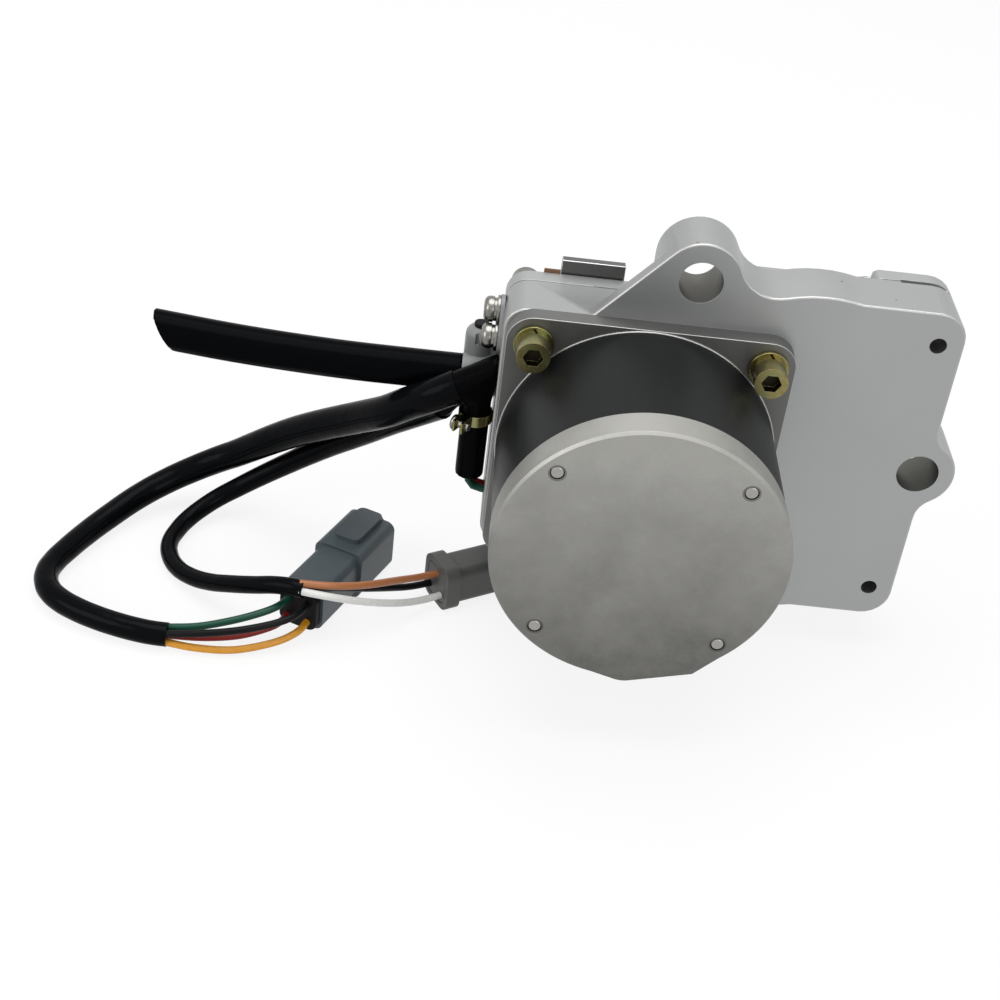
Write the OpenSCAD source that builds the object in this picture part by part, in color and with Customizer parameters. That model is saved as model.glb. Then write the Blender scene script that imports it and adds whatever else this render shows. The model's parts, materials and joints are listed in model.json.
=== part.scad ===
// Engine governor actuator: a stepping motor on a flat cast gear case, with an output shaft at the back.
// X to the right, Y from the motor side to the back, Z up. The origin is the side lug's hole on the case face.
// Modules are drawn about the motor axis and moved to the origin by place().

/* [Mounting lugs] */
// Bolt hole in each lug
lug_hole_d = 13; // [9:0.5:14]
// Side lug hole, right of the motor axis
side_lug_x = 89; // [86:0.5:92]
// Side lug outer radius
side_lug_r = 11.6; // [10.5:0.1:13]
// End lug holes, right of the motor axis
end_lug_x = 11.4; // [8:0.2:15]
// End lug holes, above and below the motor axis
end_lug_z = 57; // [55:0.5:62]
// End lug outer radius
end_lug_r = 12.4; // [11:0.1:14]

/* [Gear case] */
// Depth of the case casting
case_depth = 18.7; // [17:0.1:24]
// Left wall, left of the motor axis
case_left = 44; // [43.5:0.5:48]
// Half height at the motor end
motor_half = 42.5; // [42:0.5:46]
// Half height at the gear end
gear_half = 55.6; // [54.5:0.1:57]
// Right wall, right of the motor axis
case_right = 91.8; // [90:0.2:95]
// Side wall
wall = 4; // [3:0.25:5]
// Front wall
front_wall = 4.5; // [3.5:0.25:5]
// Corner radius at the motor end
motor_corner_r = 7; // [4:0.5:10]
// Corner radius at the gear end
gear_corner_r = 9; // [6:0.5:12]
// Start of the slope up to the end lug, left of the motor axis
slope_start = 18.5; // [16:0.5:22]
// Crown of the gear room above the motor axis
crest_top = 56.8; // [56.4:0.1:58]
// Radius of the crown
crest_r = 45; // [40:1:55]
// Fillet beside the end lugs
lug_fillet = 12; // [8:0.5:14]
// Fillet beside the side lug
side_fillet = 8; // [6:0.5:10]

/* [Rear cover] */
// Depth of the cover
cover_depth = 6.3; // [6:0.1:9]
// Back wall of the cover
cover_wall = 3.8; // [3:0.1:4]
// Joint gasket thickness
gasket_t = 0.5; // [0.3:0.1:1]
// How far the joint gasket stays inside the outline
gasket_inset = 0.6; // [0.2:0.1:1]
// How far the cover stays below the case between the corner tabs
cover_drop = 3.2; // [2:0.2:3.6]
// Left end of the corner tabs, right of the motor axis
tab_x = 66; // [62:1:72]
// Cover screw diameter
cover_screw_d = 5; // [4:0.5:6]

/* [Motor] */
// Outside diameter of the can
can_d = 84.6; // [84:0.1:85]
// Length of the can
can_len = 45.2; // [43:0.2:55]
// Wall of the can
can_wall = 1.8; // [1.2:0.1:2.2]
// How far the rear cap stands out past the can
cap_lip = 0.2; // [0:0.1:0.5]
// Thickness of the rear cap
cap_t = 10.1; // [9.8:0.1:12]
// Flange past the centres of its screw holes
flange_r = 8.2; // [7.5:0.1:9]
// Thickness of the flange
flange_t = 6; // [5:0.5:8]
// Pilot of the flange in the case
pilot_d = 73; // [68:0.1:74]
// Depth of the pilot
pilot_t = 2; // [1:0.1:3]
// Space between the motor washers and the can
washer_gap = 0.915; // [0.7:0.005:1.2]
// Motor screw diameter
motor_screw_d = 6; // [5:0.5:6]
// Bearing outside diameter
bearing_d = 32; // [28:1:34]
// Bearing width
bearing_w = 10; // [8:0.5:10]
// Rotor shaft diameter in the bearings
shaft_d = 12; // [10:0.5:14]
// Rotor diameter as a share of the can's
rotor_share = 0.544; // [0.5:0.002:0.544]
// Length of the rotor and stator stacks
stack_len = 30; // [26:1:30]
// Gap between rotor and stator
air_gap = 0.3; // [0.2:0.05:0.5]
// Tie bolt diameter
tie_d = 4; // [3:0.5:5]
// Tie bolts inside the can's inner wall
tie_in = 3; // [2.7:0.1:3.4]

/* [Gear train] */
// Gear module
gear_m = 1; // [1:0.01:1.02]
// Teeth of the motor pinion
pinion_n = 16; // [16:1:17]
// Teeth of the sector's full circle
sector_n = 84; // [83:1:85]
// Teeth that the sector carries
sector_teeth = 26; // [24:2:28]
// Teeth of the sensor gear
sensor_n = 35; // [33:1:36]
// Tooth thinning on each gear
backlash = 0.12; // [0.08:0.01:0.2]
// Pinion seat on the rotor shaft
pinion_bore = 8; // [6:0.5:9]
// Width of the sector gear
sector_w = 7; // [5:0.5:8]
// Width of the sensor gear
sensor_w = 5; // [4:0.5:7]

/* [Output shaft] */
// Lever end and rear journal of the output shaft
output_d = 12; // [10:0.5:13]
// Front journal of the output shaft
nose_d = 10; // [8:0.5:11]
// Sector seat on the output shaft
seat_d = 14; // [13.5:0.5:16]
// Length of the lever end
lever_len = 18; // [12:1:30]
// Radial running clearance
run_gap = 0.05; // [0.02:0.01:0.1]
// Wall of the bushes
bush_wall = 2; // [1.5:0.25:2.5]

/* [Position sensor] */
// Diameter of the sensor body
sensor_d = 28; // [26:0.5:29]
// Sensor shaft diameter
sensor_shaft_d = 6; // [5:0.5:7]
// Thickness of the sensor cover plate
plate_t = 3; // [2:0.25:4]
// Height of the plate's tab above the case
plate_tab_h = 4.2; // [3:0.2:6]
// Width of the plate's tab
plate_tab_w = 19.6; // [16:0.2:24]
// Thickness of the plate gasket
plate_gasket_t = 0.6; // [0.4:0.1:1]

/* [Hose and cables] */
// Hose outside diameter
hose_d = 12.2; // [11:0.2:14]
// Hose bore
hose_bore = 8.4; // [7:0.2:9.4]
// Boot tube diameter
boot_d = 9; // [8:0.5:10]
// Motor cable sleeve diameter
motor_sleeve_d = 9; // [7:0.5:10]
// Sensor cable sleeve diameter
sensor_sleeve_d = 6; // [5:0.5:7]
// Lead diameter
lead_d = 2.4; // [2:0.1:2.8]

/* [Connectors] */
// Side of the motor connector's shroud
plug_w = 17.5; // [16.5:0.5:20]
// Length of the motor connector
plug_len = 44; // [42:1:52]
// Wall of the shroud
plug_wall = 1.6; // [1.2:0.1:2]
// Depth of the shroud's socket
socket_depth = 20; // [18:1:24]
// Contact pin diameter
contact_d = 1.6; // [1.2:0.1:2]
// Length of the sensor connector
sensor_plug_len = 38; // [36:1:44]

/* [Hidden] */
$fn = 64;

// Small overlap that keeps cuts clean
cut = 1;
// Sliding clearance of seated pieces on a radius
seat_gap = 0.05;
// Clearance of screws in plain holes on a radius
screw_gap = 0.3;
// Space between pieces that move past each other along Y
end_gap = 0.5;
pressure_angle = 20;
dedendum = 1.25;
// How much wider a socket head is than its screw, and its hexagon as a share of the screw
head_over = 4;
hex_share = 1;
// Rounded share of a pan head's height
pan_round = 0.6;
// Cross recess of a pan head as shares of the screw
cross_len = 1.2;
cross_w = 0.24;

// Places along Y
cover_y = case_depth + gasket_t;
back_y = cover_y + cover_depth;
recess_y = back_y - cover_wall;
can_y = -flange_t - can_len;
cap_y = can_y - cap_t;
spigot_t = 4;
cap_spigot_t = 2;
bearing_floor = 2;
bearing_relief = 0.5;
race_d = shaft_d + 6;
cap_chamfer = 0.8;
cap_spigot_w = 5;
pad_w = 21;
pad_h = 0.2;
pad_a = 15;
pad_sink = 0.5;
pad_step = 0.3;
cap_d = can_d + 2 * cap_lip;
pad_corner = [pad_w / 2, -cap_d / 2 - pad_h];
pad_turn = atan(-pad_corner[0] / pad_corner[1]) + acos(cap_d / 2 / norm(pad_corner));
pad_foot = (cap_d / 2 - pad_sink) * [sin(pad_turn), -cos(pad_turn)];
flat_t = 1.6;
spring_t = 1.6;
spring_slit = 0.8;
spring_slit_a = 20;
spring_d = motor_screw_d + 4.4;
flat_d = motor_screw_d + 6;
bolt_square = sqrt(2) * (can_d / 2 + flat_d / 2 + washer_gap);
flange_w = bolt_square + 2 * flange_r;
tie_r = can_d / 2 - can_wall - tie_in;
rotor_d = rotor_share * can_d;
// Stator sizes as shares of the can
pole_count = 8;
yoke_t = 0.0887 * can_d;
pole_w = 0.118 * can_d;
shoe_t = 0.0177 * can_d;
shoe_w = 0.177 * can_d;
shoe_r = rotor_d / 2 + air_gap + 2 * shoe_t;
yoke_r = can_d / 2 - can_wall - yoke_t;
coil_t = 0.026 * can_d;
coil_end_r = sqrt(pow(yoke_r, 2) - pow(pole_w / 2 + coil_t, 2));
coil_gap = 0.4;
coil_h = coil_end_r - shoe_r - 2 * coil_gap;
magnet_slot = 3;
stack_y = (can_y - flange_t) / 2;
pinion_y0 = front_wall + 3;
pinion_y1 = case_depth - 1.5;
train_y = (pinion_y0 + pinion_y1) / 2;

// Gear circles, in the X-Z plane about the motor axis
pinion_r = gear_m * pinion_n / 2;
sector_r = gear_m * sector_n / 2;
sensor_r = gear_m * sensor_n / 2;
output_x = pinion_r + sector_r;
sensor_a = 135;
sensor_c = polar(pinion_r + sensor_r, sensor_a);
// Share of a tooth pitch by which the sensor gear's mesh lies past a pinion tooth
mesh_shift = sensor_a * pinion_n / 360 - floor(sensor_a * pinion_n / 360);
sensor_hub_t = 1.5;
gear_room_r = sector_r + gear_m + 3;
hub_r = seat_d / 2 + 5;

// Case outline
slope_foot = [-slope_start, motor_half];
end_lug = [end_lug_x, end_lug_z];
lugs_at = [[side_lug_x, 0], end_lug, [end_lug_x, -end_lug_z]];
bolt_room = 2;
slope_a = atan2(end_lug_z - motor_half, end_lug_x + slope_start)
    + asin(end_lug_r / norm(end_lug - slope_foot));
slope_fillet = 3;
tab_r = 2;
crest_c = [output_x - 0.5, crest_top - crest_r];
fillet_c = two_circles(end_lug, end_lug_r + lug_fillet, crest_c, crest_r + lug_fillet);
side_x = case_right + side_fillet;
side_c = [side_x, sqrt(pow(side_lug_r + side_fillet, 2) - pow(side_x - side_lug_x, 2))];
block_half = motor_half - wall;
block_r = 3;
block_right = output_x - 30;
screw_boss_d = cover_screw_d + 4.4;
cover_hole_y = front_wall + 4.5;
cover_screw_len = back_y - cover_hole_y - cut;
corner_screw = [case_right - 7.7, gear_half - 10.6];
cover_screws_at = [for (s = [-1, 1], p = [corner_screw, [-case_left + 6, motor_half - 6],
    [output_x - 23, gear_half - cover_drop - 5.8]]) [p[0], s * p[1]]];
bush_boss_y = front_wall + 3.5;
bush_boss_d = nose_d + 2 * bush_wall + 8;
motor_boss_d = motor_screw_d + 6;
motor_boss_y = front_wall + 2.5;

// Output shaft along Y
nose_y = front_wall - 2;
hub_y0 = bush_boss_y + 0.4;
hub_y1 = recess_y - 4.4;
rear_boss_d = output_d + 2 * bush_wall + 12;
rear_boss_t = 9.5;
seal_t = 5;
seal_wall = 5;
rear_y = back_y + rear_boss_t;
ring_t = 1;
ring_gap = 0.4;
ring_groove = 0.9;
ring_wall = 3;
lever_y = rear_y + ring_gap + ring_t;
pin_d = 1.2;
pin_y = (hub_y1 + train_y + sector_w / 2) / 2;
lightening_d = 11;
lightening_a = 36;

// Position sensor
pocket_gap = 0.3;
sensor_floor = 2;
sensor_boss_d = sensor_d + 6;
sensor_t = cover_depth - sensor_floor - 0.1;
sensor_nose_d = sensor_shaft_d + 2;
plate_r = sensor_d / 2 + 6;
plate_screw_len = 3;
sensor_back = 1.4;
plate_y = back_y + plate_gasket_t;
plate_screw_d = 3;
plate_screw_in = 2.8;
plate_screws_at = [for (a = [45:90:315]) sensor_c + polar(plate_r - plate_screw_in, a)];
plate_head_h = 2;
gasket_ear = 1;
gasket_ear_w = 5;
gasket_ear_gap = 0.2;

// Left wall fittings
hose_y = 16;
hose_z = 9.4;
hose_cut_a = 30;
hose_sides = 12;
fitting_t = 1.2;
fitting_y = 14;
fitting_screw_d = 4;
// Screws of the hose fitting, across and up on the left wall
fitting_screws_at = [[10, 26.7], [15, 33.3]];
fitting_ear_r = 4.8;
fitting_washer_t = 1;
fitting_washer_d = 2 * fitting_screw_d + 1;
fitting_spring_t = 1;
fitting_spring_d = 2 * fitting_screw_d - 0.8;
fitting_head_h = 3;
fitting_body_d = hose_d + 0.6;
fitting_end = case_left + 11;
fitting_step = 4;
fitting_lift = 1.2;
post_x = -case_left - 6.2;
post_y = hose_y + 3.2;
post_r = 4.7;
post_top = 25;
post_round = 3;
web_w = 6.4;
web_top = 24;
post_slot = [1, 2, 4.5];
fitting_bore = hose_bore - 3;
nipple_len = 14;
nipple_d = hose_bore * cos(180 / hose_sides) - 2 * seat_gap;
boot_y = 4.6;
boot_z = 18.6;
clip_t = 0.8;
boot_x = -case_left - boot_d / 2 - clip_t;
boot_low = -20;
boot_high = 8;
mouth_wall = 0.3;
// Start of the sensor cable's branch inside the boot
branch_at = [boot_x - 3.7, boot_y + 0.4, boot_high + 4];
clip_h = 3.6;
clip_z = 1.8;
clip_a = 240;
clip_ear = 6;
clip_slit = 2;
clip_screw_d = 2.5;
clip_screw_len = 20;
inlet_z = -24.5;
inlet_d = 7;
inlet_pitch = 3.2;
// Route of the inlet leads, right of the boot's axis and up
inlet_path = [[0, boot_low], [0, boot_low - 1.6], [1.6, inlet_z + 0.8], [4.4, inlet_z],
    [boot_d / 2 + clip_t + wall, inlet_z]];

// Connectors on the surface that the cords lie on
floor_z = -end_lug_z - end_lug_r;
motor_plug_at = [-97.4, -19.5];
motor_plug_a = 66;
sensor_plug_at = [-56, 0.5];
sensor_plug_a = 31;
plug_rear_w = plug_w - 2.4;
plug_rear_len = plug_len - 22;
seal_out = 3;
contact_pitch = 7;
contact_len = 10;
contact_root = 3;
plug_r = 3;
socket_r = 2;
motor_seal_w = plug_rear_w - 1.6;
key_len = 18;
key_w = 9;
key_h = 2;
sensor_plug_w = 16;
sensor_seal_w = sensor_plug_w - 4;
collar_r = 4;
sensor_step_len = 10;
sensor_tip_len = 2;
socket_d = 2;
socket_len = 8;
// Lead entries of the sensor connector, across and up from its axis
entries = [[0, 3.4], [-3.5, -3], [3.5, -3]];
sensor_body_w = 13.4;
sensor_collar_len = 5;
sensor_seal_t = 4;

// Cord routes about the motor axis
hose_path = [[-55, 16, 9.4], [-72, 16, 9.4], [-90, 16, 9.5], [-109, 16, 10.2],
    [-128, 16, 11.4], [-147, 16, 13.2]];
motor_cable_path = [[-55.5, 3.4, 11.9], [-59, 3.2, 10], [-63.7, 3.8, 6.9], [-69.8, 7, 1.9], [-76.6, 11.5, -4.7],
    [-83.7, 18, -11.4], [-90.4, 23.5, -17.2], [-100, 30, -24.8], [-109.8, 36, -32.8], [-119.6, 40, -40.6],
    [-128.1, 43, -47.4], [-141, 43, -54.6], [-157, 35, -61.2], [-170, 18, -64.6], [-178, 0, -64.9],
    [-180.5, -11, -64.9], [-177.5, -20, -64.9], [-170, -26.5, -64.9], [-158, -32, -64.9], [-145, -35.4, -64.9],
    [-137, -36, -64.9]];
sensor_cable_path = [[-59.6, 8.1, 1], [-63.4, 12.2, -3.4], [-69.7, 17.2, -9.7], [-76.1, 22.5, -16.3],
    [-82.7, 27.5, -23.2], [-89.3, 31.5, -29.3], [-96.1, 35, -35.2], [-102.9, 37, -40.6], [-109.7, 38.5, -46.1],
    [-117.8, 39, -52], [-126.5, 38.2, -57.9], [-135.5, 34, -62.6], [-143, 25, -65.8], [-145.8, 12, -66.4],
    [-141, 0, -66], [-131, -9.5, -63], [-117, -18.5, -56], [-104, -24, -50.4], [-96.5, -26, -49.6]];
// Leads from the motor cable to its connector
green_path = [[-138.5, -34.4, -63.4], [-128, -34, -62], [-117, -31.5, -60], [-108, -28, -58.2],
    [-103.5, -24.5, -57.4], [-101.4, -19.9, -57.2]];
black_path = [[-138.5, -37.6, -63.4], [-127, -38, -61.5], [-115, -37, -59.5], [-104, -33.5, -58],
    [-98, -28.8, -57.4], [-95, -22.7, -57.2]];
red_path = [[-138.5, -34.4, -66.4], [-127, -33.4, -66.8], [-116, -31, -66.6], [-107.5, -27.5, -65.4],
    [-103.6, -24.6, -64.5], [-101.4, -19.9, -64.2]];
yellow_path = [[-138.5, -37.6, -66.4], [-128, -38.4, -67], [-116, -37, -67.4], [-104, -33, -66],
    [-97.6, -28.5, -64.6], [-95, -22.7, -64.2]];
// Leads from the sensor cable to its connector
signal_path = [[-98, -25.6, -47.6], [-88, -24, -48.6], [-78, -18, -51.5], [-68, -8.5, -55.5],
    [-62, -3.5, -57.4], [-55, 1, -58]];
ground_path = [[-98, -27.4, -49.2], [-88, -26.5, -51], [-78, -21.5, -55.5], [-68, -13.5, -61],
    [-60.5, -7, -64], [-53.4, -2.1, -64.4]];
supply_path = [[-98, -24.2, -50], [-88, -21, -51.5], [-79, -14, -56], [-70, -5, -61.5],
    [-64, 0, -64], [-57, 4, -64.4]];

// Shared functions

function polar(r, a) = r * [cos(a), sin(a)];
function heading(v) = atan2(v[1], v[0]);

// Points of an arc, leaving out some at its first and last end
function arc(c, r, a0, a1, n = 8, first = 0, last = 0) =
    [for (i = [first:n - last]) c + polar(r, a0 + (a1 - a0) * i / n)];

// Meeting point of two circles, on the left of the way from the first to the second
function two_circles(p, rp, q, rq) =
    let (d = norm(q - p), u = (q - p) / d, a = (rp * rp - rq * rq + d * d) / (2 * d))
    p + a * u + sqrt(rp * rp - a * a) * [-u[1], u[0]];

// Upper half of an outline with its mirror image below
function mirrored(top) =
    concat(top, [for (i = [len(top) - 1:-1:0]) if (top[i][1] > 0.001) [top[i][0], -top[i][1]]]);

function case_outline() =
    let (lug_a = heading(fillet_c - end_lug), side_a = heading(side_c - [side_lug_x, 0]))
    mirrored(concat(
        arc([motor_corner_r - case_left, motor_half - motor_corner_r], motor_corner_r, 180, 90, 6),
        arc(slope_foot + slope_fillet * [-tan(slope_a / 2), 1], slope_fillet, -90, slope_a - 90, 4),
        arc(end_lug, end_lug_r, slope_a + 90, lug_a, 12),
        arc(fillet_c, lug_fillet, lug_a + 180, heading(crest_c - fillet_c) + 360, 8, 1, 1),
        arc(crest_c, crest_r, heading(fillet_c - crest_c), asin((gear_half - crest_c[1]) / crest_r), 6),
        arc([case_right, gear_half] - gear_corner_r * [1, 1], gear_corner_r, 90, 0, 6),
        arc(side_c, side_fillet, 180, side_a + 180, 6),
        arc([side_lug_x, 0], side_lug_r, side_a, 0, 6, 1)));

// Cover outline: flush with the case at both ends, lower between the lugs
function cover_outline(inset = 0) =
    let (foot = [inset * tan(slope_a / 2) - slope_start, motor_half - inset],
        low = gear_half - cover_drop - inset)
    mirrored(concat(
        arc([motor_corner_r - case_left, motor_half - motor_corner_r], motor_corner_r - inset, 180, 90, 6),
        [foot, [foot[0] + (low - foot[1]) / tan(slope_a), low], [tab_x + inset, low]],
        arc([tab_x + inset + tab_r, gear_half - inset - tab_r], tab_r, 180, 90, 4),
        arc([case_right, gear_half] - gear_corner_r * [1, 1], gear_corner_r - inset, 90, 0, 6)));

// Involute of a base circle, in degrees, at a radius
function involute(r, rb) = sqrt(max(0, pow(r / rb, 2) - 1)) * 180 / PI - acos(min(1, rb / r));

// One tooth centred on an angle, from root to root
function tooth(a, n) =
    let (rp = gear_m * n / 2, rb = rp * cos(pressure_angle), root = rp - dedendum * gear_m, tip = rp + gear_m,
        half = 90 / n - backlash / 2 / rp * 180 / PI + involute(rp, rb), start = max(root, rb),
        flank = [for (i = [0:4]) start + (tip - start) * i / 4],
        radii = root < rb ? concat([root], flank) : flank)
    concat([for (r = radii) polar(r, a - half + involute(r, rb))],
        [for (i = [len(radii) - 1:-1:0]) polar(radii[i], a + half - involute(radii[i], rb))]);

// Gear with a tooth centred on the given angle
function gear_outline(n, a) = [for (i = [0:n - 1]) each tooth(a + 360 * i / n, n)];

// Rings of a round tube along a path
function along(p, i) =
    let (v = p[min(i + 1, len(p) - 1)] - p[max(i - 1, 0)]) v / norm(v);
function ring(p, i, r, sides, up) =
    let (t = along(p, i), s = cross(t, up) / norm(cross(t, up)), u = cross(s, t))
    [for (k = [0:sides - 1]) p[i] + r * (cos(360 * k / sides) * s + sin(360 * k / sides) * u)];

// Shared forms

module place() translate([-side_lug_x, 0, 0]) children();

// A flat outline in X-Z, drawn out along Y
module slab(y0, y1) translate([0, y1, 0]) rotate([90, 0, 0]) linear_extrude(y1 - y0) children();

// A round bar along Y
module rod(y0, y1, d, at = [0, 0]) translate([at[0], y1, at[1]]) rotate([90, 0, 0])
    cylinder(h = y1 - y0, d = d);

// A round bar along X, pointing left, from a distance left of the motor axis
module peg(from, to, d, y, z) translate([-from, y, z]) rotate([0, -90, 0]) cylinder(h = to - from, d = d);

module rounded_square(w, h, r) {
    square([w - 2 * r, h], center = true);
    square([w, h - 2 * r], center = true);
    for (sx = [-1, 1], sz = [-1, 1]) translate([sx * (w / 2 - r), sz * (h / 2 - r)]) circle(r);
}

module tube(p, d, sides = 8, up = [0, 0, 1]) {
    n = len(p);
    points = [for (i = [0:n - 1]) each ring(p, i, d / 2, sides, up)];
    walls = [for (i = [0:n - 2], k = [0:sides - 1])
        let (a = i * sides, b = (k + 1) % sides) [a + k, a + b, a + sides + b, a + sides + k]];
    ends = [[for (k = [sides - 1:-1:0]) k], [for (k = [0:sides - 1]) (n - 1) * sides + k]];
    polyhedron(points, concat(walls, ends));
}

// A hollow tube along a path, its far end cut at an angle
module pipe(p, d, bore, sides, cut_a) {
    n = len(p);
    slant = [for (k = [0:sides - 1]) tan(cut_a) * sin(360 * k / sides) * along(p, n - 1)];
    points = [for (r = [d / 2, bore / 2], i = [0:n - 1]) let (c = ring(p, i, r, sides, [0, 0, 1]))
        each [for (k = [0:sides - 1]) c[k] + (i == n - 1 ? r * slant[k] : [0, 0, 0])]];
    faces = [for (w = [0, 1], i = [0:n - 2], k = [0:sides - 1])
        let (a = (w * n + i) * sides, b = (k + 1) % sides, f = [a + k, a + b, a + sides + b, a + sides + k])
        w == 0 ? f : [f[3], f[2], f[1], f[0]]];
    rims = [for (e = [0, n - 1], k = [0:sides - 1])
        let (a = e * sides, q = (n + e) * sides, b = (k + 1) % sides)
        e == 0 ? [q + k, q + b, a + b, a + k] : [a + k, a + b, q + b, q + k]];
    polyhedron(points, concat(faces, rims));
}

module at_motor_bolts() for (sx = [-1, 1], sz = [-1, 1]) translate([sx, 0, sz] * bolt_square / 2) children();

module at_tie_bolts() for (a = [45:90:315]) translate([tie_r * cos(a), 0, tie_r * sin(a)]) children();

// Room for the gears inside case and cover
module gear_room() difference() {
    union() {
        translate([(block_right + wall - case_left) / 2, 0])
            rounded_square(block_right - wall + case_left, 2 * block_half, block_r);
        intersection() {
            translate([output_x, 0]) circle(gear_room_r);
            translate([0, -gear_half]) square([case_right - wall, 2 * gear_half]);
        }
    }
    translate([side_lug_x, 0]) circle(lug_hole_d / 2 + wall);
    for (p = cover_screws_at) translate(p) circle(d = screw_boss_d);
}

// A round post along Z with a rounded top
module domed(r, h, r_top) rotate_extrude()
    polygon(concat([[0, 0], [r, 0]], arc([r - r_top, h - r_top], r_top, 0, 90, 5), [[0, h]]));

// Socket head screw along Y: head in front, shank towards the back
module socket_screw(d, len, head_h) difference() {
    union() {
        rod(0, len, d);
        rod(-head_h, 0, d + head_over);
    }
    translate([0, -head_h / 2, 0]) rotate([90, 0, 0]) cylinder(h = head_h, d = d * hex_share, $fn = 6);
}

// Pan head screw along X: head to the left, shank into the wall
module pan_screw(d, len, head_h) rotate([0, -90, 0]) difference() {
    union() {
        translate([0, 0, -len]) cylinder(h = len, d = d);
        domed(d, head_h, head_h * pan_round);
    }
    for (a = [45, 135]) translate([0, 0, head_h]) rotate(a)
        cube([cross_len * d, cross_w * d, head_h], center = true);
}

// Case and covers

module gear_case() place() color("silver") difference() {
    slab(0, case_depth) polygon(case_outline());
    difference() {
        slab(front_wall, case_depth + cut) gear_room();
        rod(0, bush_boss_y, bush_boss_d, [output_x, 0]);
        at_motor_bolts() rod(0, motor_boss_y, motor_boss_d);
    }
    rod(-cut, front_wall + cut, pilot_d + 2 * seat_gap);
    for (p = lugs_at) rod(-cut, case_depth + cut, lug_hole_d, p);
    rod(nose_y, bush_boss_y + cut, nose_d + 2 * bush_wall + 2 * seat_gap, [output_x, 0]);
    at_motor_bolts() rod(-cut, motor_boss_y + cut, motor_screw_d + 2 * seat_gap);
    for (p = cover_screws_at)
        rod(p[0] > tab_x ? -cut : cover_hole_y, case_depth + cut, cover_screw_d + 2 * seat_gap, p);
    peg(case_left - wall - cut, case_left + cut, inlet_d, boot_y, inlet_z);
    peg(case_left - wall - cut, case_left + cut, fitting_bore, fitting_y, hose_z);
    for (p = fitting_screws_at)
        peg(case_left - wall + cut, case_left + cut, fitting_screw_d + 2 * seat_gap, p[0], p[1]);
}

module rear_cover() place() color("gainsboro") difference() {
    union() {
        slab(cover_y, back_y) polygon(cover_outline());
        rod(back_y - cut, rear_y, rear_boss_d, [output_x, 0]);
    }
    difference() {
        slab(cover_y - cut, recess_y) gear_room();
        rod(cover_y - 2 * cut, recess_y + cut, sensor_boss_d, sensor_c);
    }
    rod(cover_y, rear_y + cut, output_d + 2 * bush_wall + 2 * seat_gap, [output_x, 0]);
    rod(rear_y - seal_t, rear_y + cut, output_d + 2 * seal_wall + 2 * seat_gap, [output_x, 0]);
    rod(cover_y + sensor_floor, back_y + cut, sensor_d + 2 * pocket_gap, sensor_c);
    rod(cover_y - cut, back_y, sensor_nose_d + 2 * seat_gap, sensor_c);
    for (p = cover_screws_at) rod(cover_y - cut, back_y + cut, cover_screw_d + 2 * screw_gap, p);
    for (p = lugs_at) rod(cover_y - cut, back_y + cut, lug_hole_d + 2 * bolt_room, p);
    for (p = plate_screws_at) rod(back_y - plate_screw_len, back_y + cut, plate_screw_d + 2 * seat_gap, p);
}

module joint_gasket() place() color("dimgray") slab(case_depth, cover_y) difference() {
    polygon(cover_outline(gasket_inset));
    gear_room();
    for (p = cover_screws_at) translate(p) circle(cover_screw_d / 2 + screw_gap);
    for (p = lugs_at) translate(p) circle(lug_hole_d / 2 + bolt_room);
}

module cover_screws() place() color("lightgray") for (p = cover_screws_at)
    translate([p[0], back_y, p[1]]) rotate([0, 0, 180])
        socket_screw(cover_screw_d, cover_screw_len, cover_screw_d);

// Motor

module motor_flange() place() color("darkgray") difference() {
    union() {
        slab(-flange_t, 0) rounded_square(flange_w, flange_w, flange_r);
        rod(-cut, pilot_t, pilot_d);
        rod(-flange_t - spigot_t, -cut, can_d - 2 * can_wall - 2 * seat_gap);
    }
    rod(-flange_t - spigot_t - cut, -bearing_floor, bearing_d + 2 * seat_gap);
    rod(-bearing_floor - cut, pilot_t + cut, race_d + 4 * bearing_relief);
    at_motor_bolts() rod(-flange_t - cut, cut, motor_screw_d + 2 * screw_gap);
    at_tie_bolts() rod(-flange_t - spigot_t - cut, -bearing_floor, tie_d + 2 * seat_gap);
}

module motor_can() place() color([0.1, 0.1, 0.11]) difference() {
    rod(can_y, -flange_t, can_d);
    rod(can_y - cut, -flange_t + cut, can_d - 2 * can_wall);
}

module motor_rear_cap() place() color("lightgray") difference() {
    union() {
        translate([0, can_y, 0]) rotate([90, 0, 0]) rotate_extrude()
            polygon([[0, 0], [cap_d / 2, 0], [cap_d / 2, cap_t - cap_chamfer],
                [cap_d / 2 - cap_chamfer, cap_t], [0, cap_t]]);
        rod(can_y, can_y + cap_spigot_t, can_d - 2 * can_wall - 2 * seat_gap);
        slab(cap_y + pad_step, can_y) rotate(pad_a) polygon([pad_corner, [-pad_corner[0], pad_corner[1]],
            [-pad_foot[0], pad_foot[1]], pad_foot]);
    }
    rod(can_y, can_y + cap_spigot_t + cut, can_d - 2 * can_wall - 2 * cap_spigot_w);
    rod(can_y + cap_spigot_t - bearing_w, can_y + cap_spigot_t + cut, bearing_d + 2 * seat_gap);
    rod(can_y + cap_spigot_t - bearing_w - bearing_relief, can_y, race_d + 4 * bearing_relief);
    at_tie_bolts() rod(cap_y - cut, can_y + cap_spigot_t + cut, tie_d + 2 * seat_gap);
}

module tie_bolts() place() color("silver") at_tie_bolts() rod(cap_y, -bearing_floor - end_gap, tie_d);

module motor_screws() place() color("darkkhaki") at_motor_bolts()
    translate([0, -flange_t - flat_t - spring_t, 0])
        socket_screw(motor_screw_d, flange_t + flat_t + spring_t + motor_boss_y - end_gap, motor_screw_d);

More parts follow.
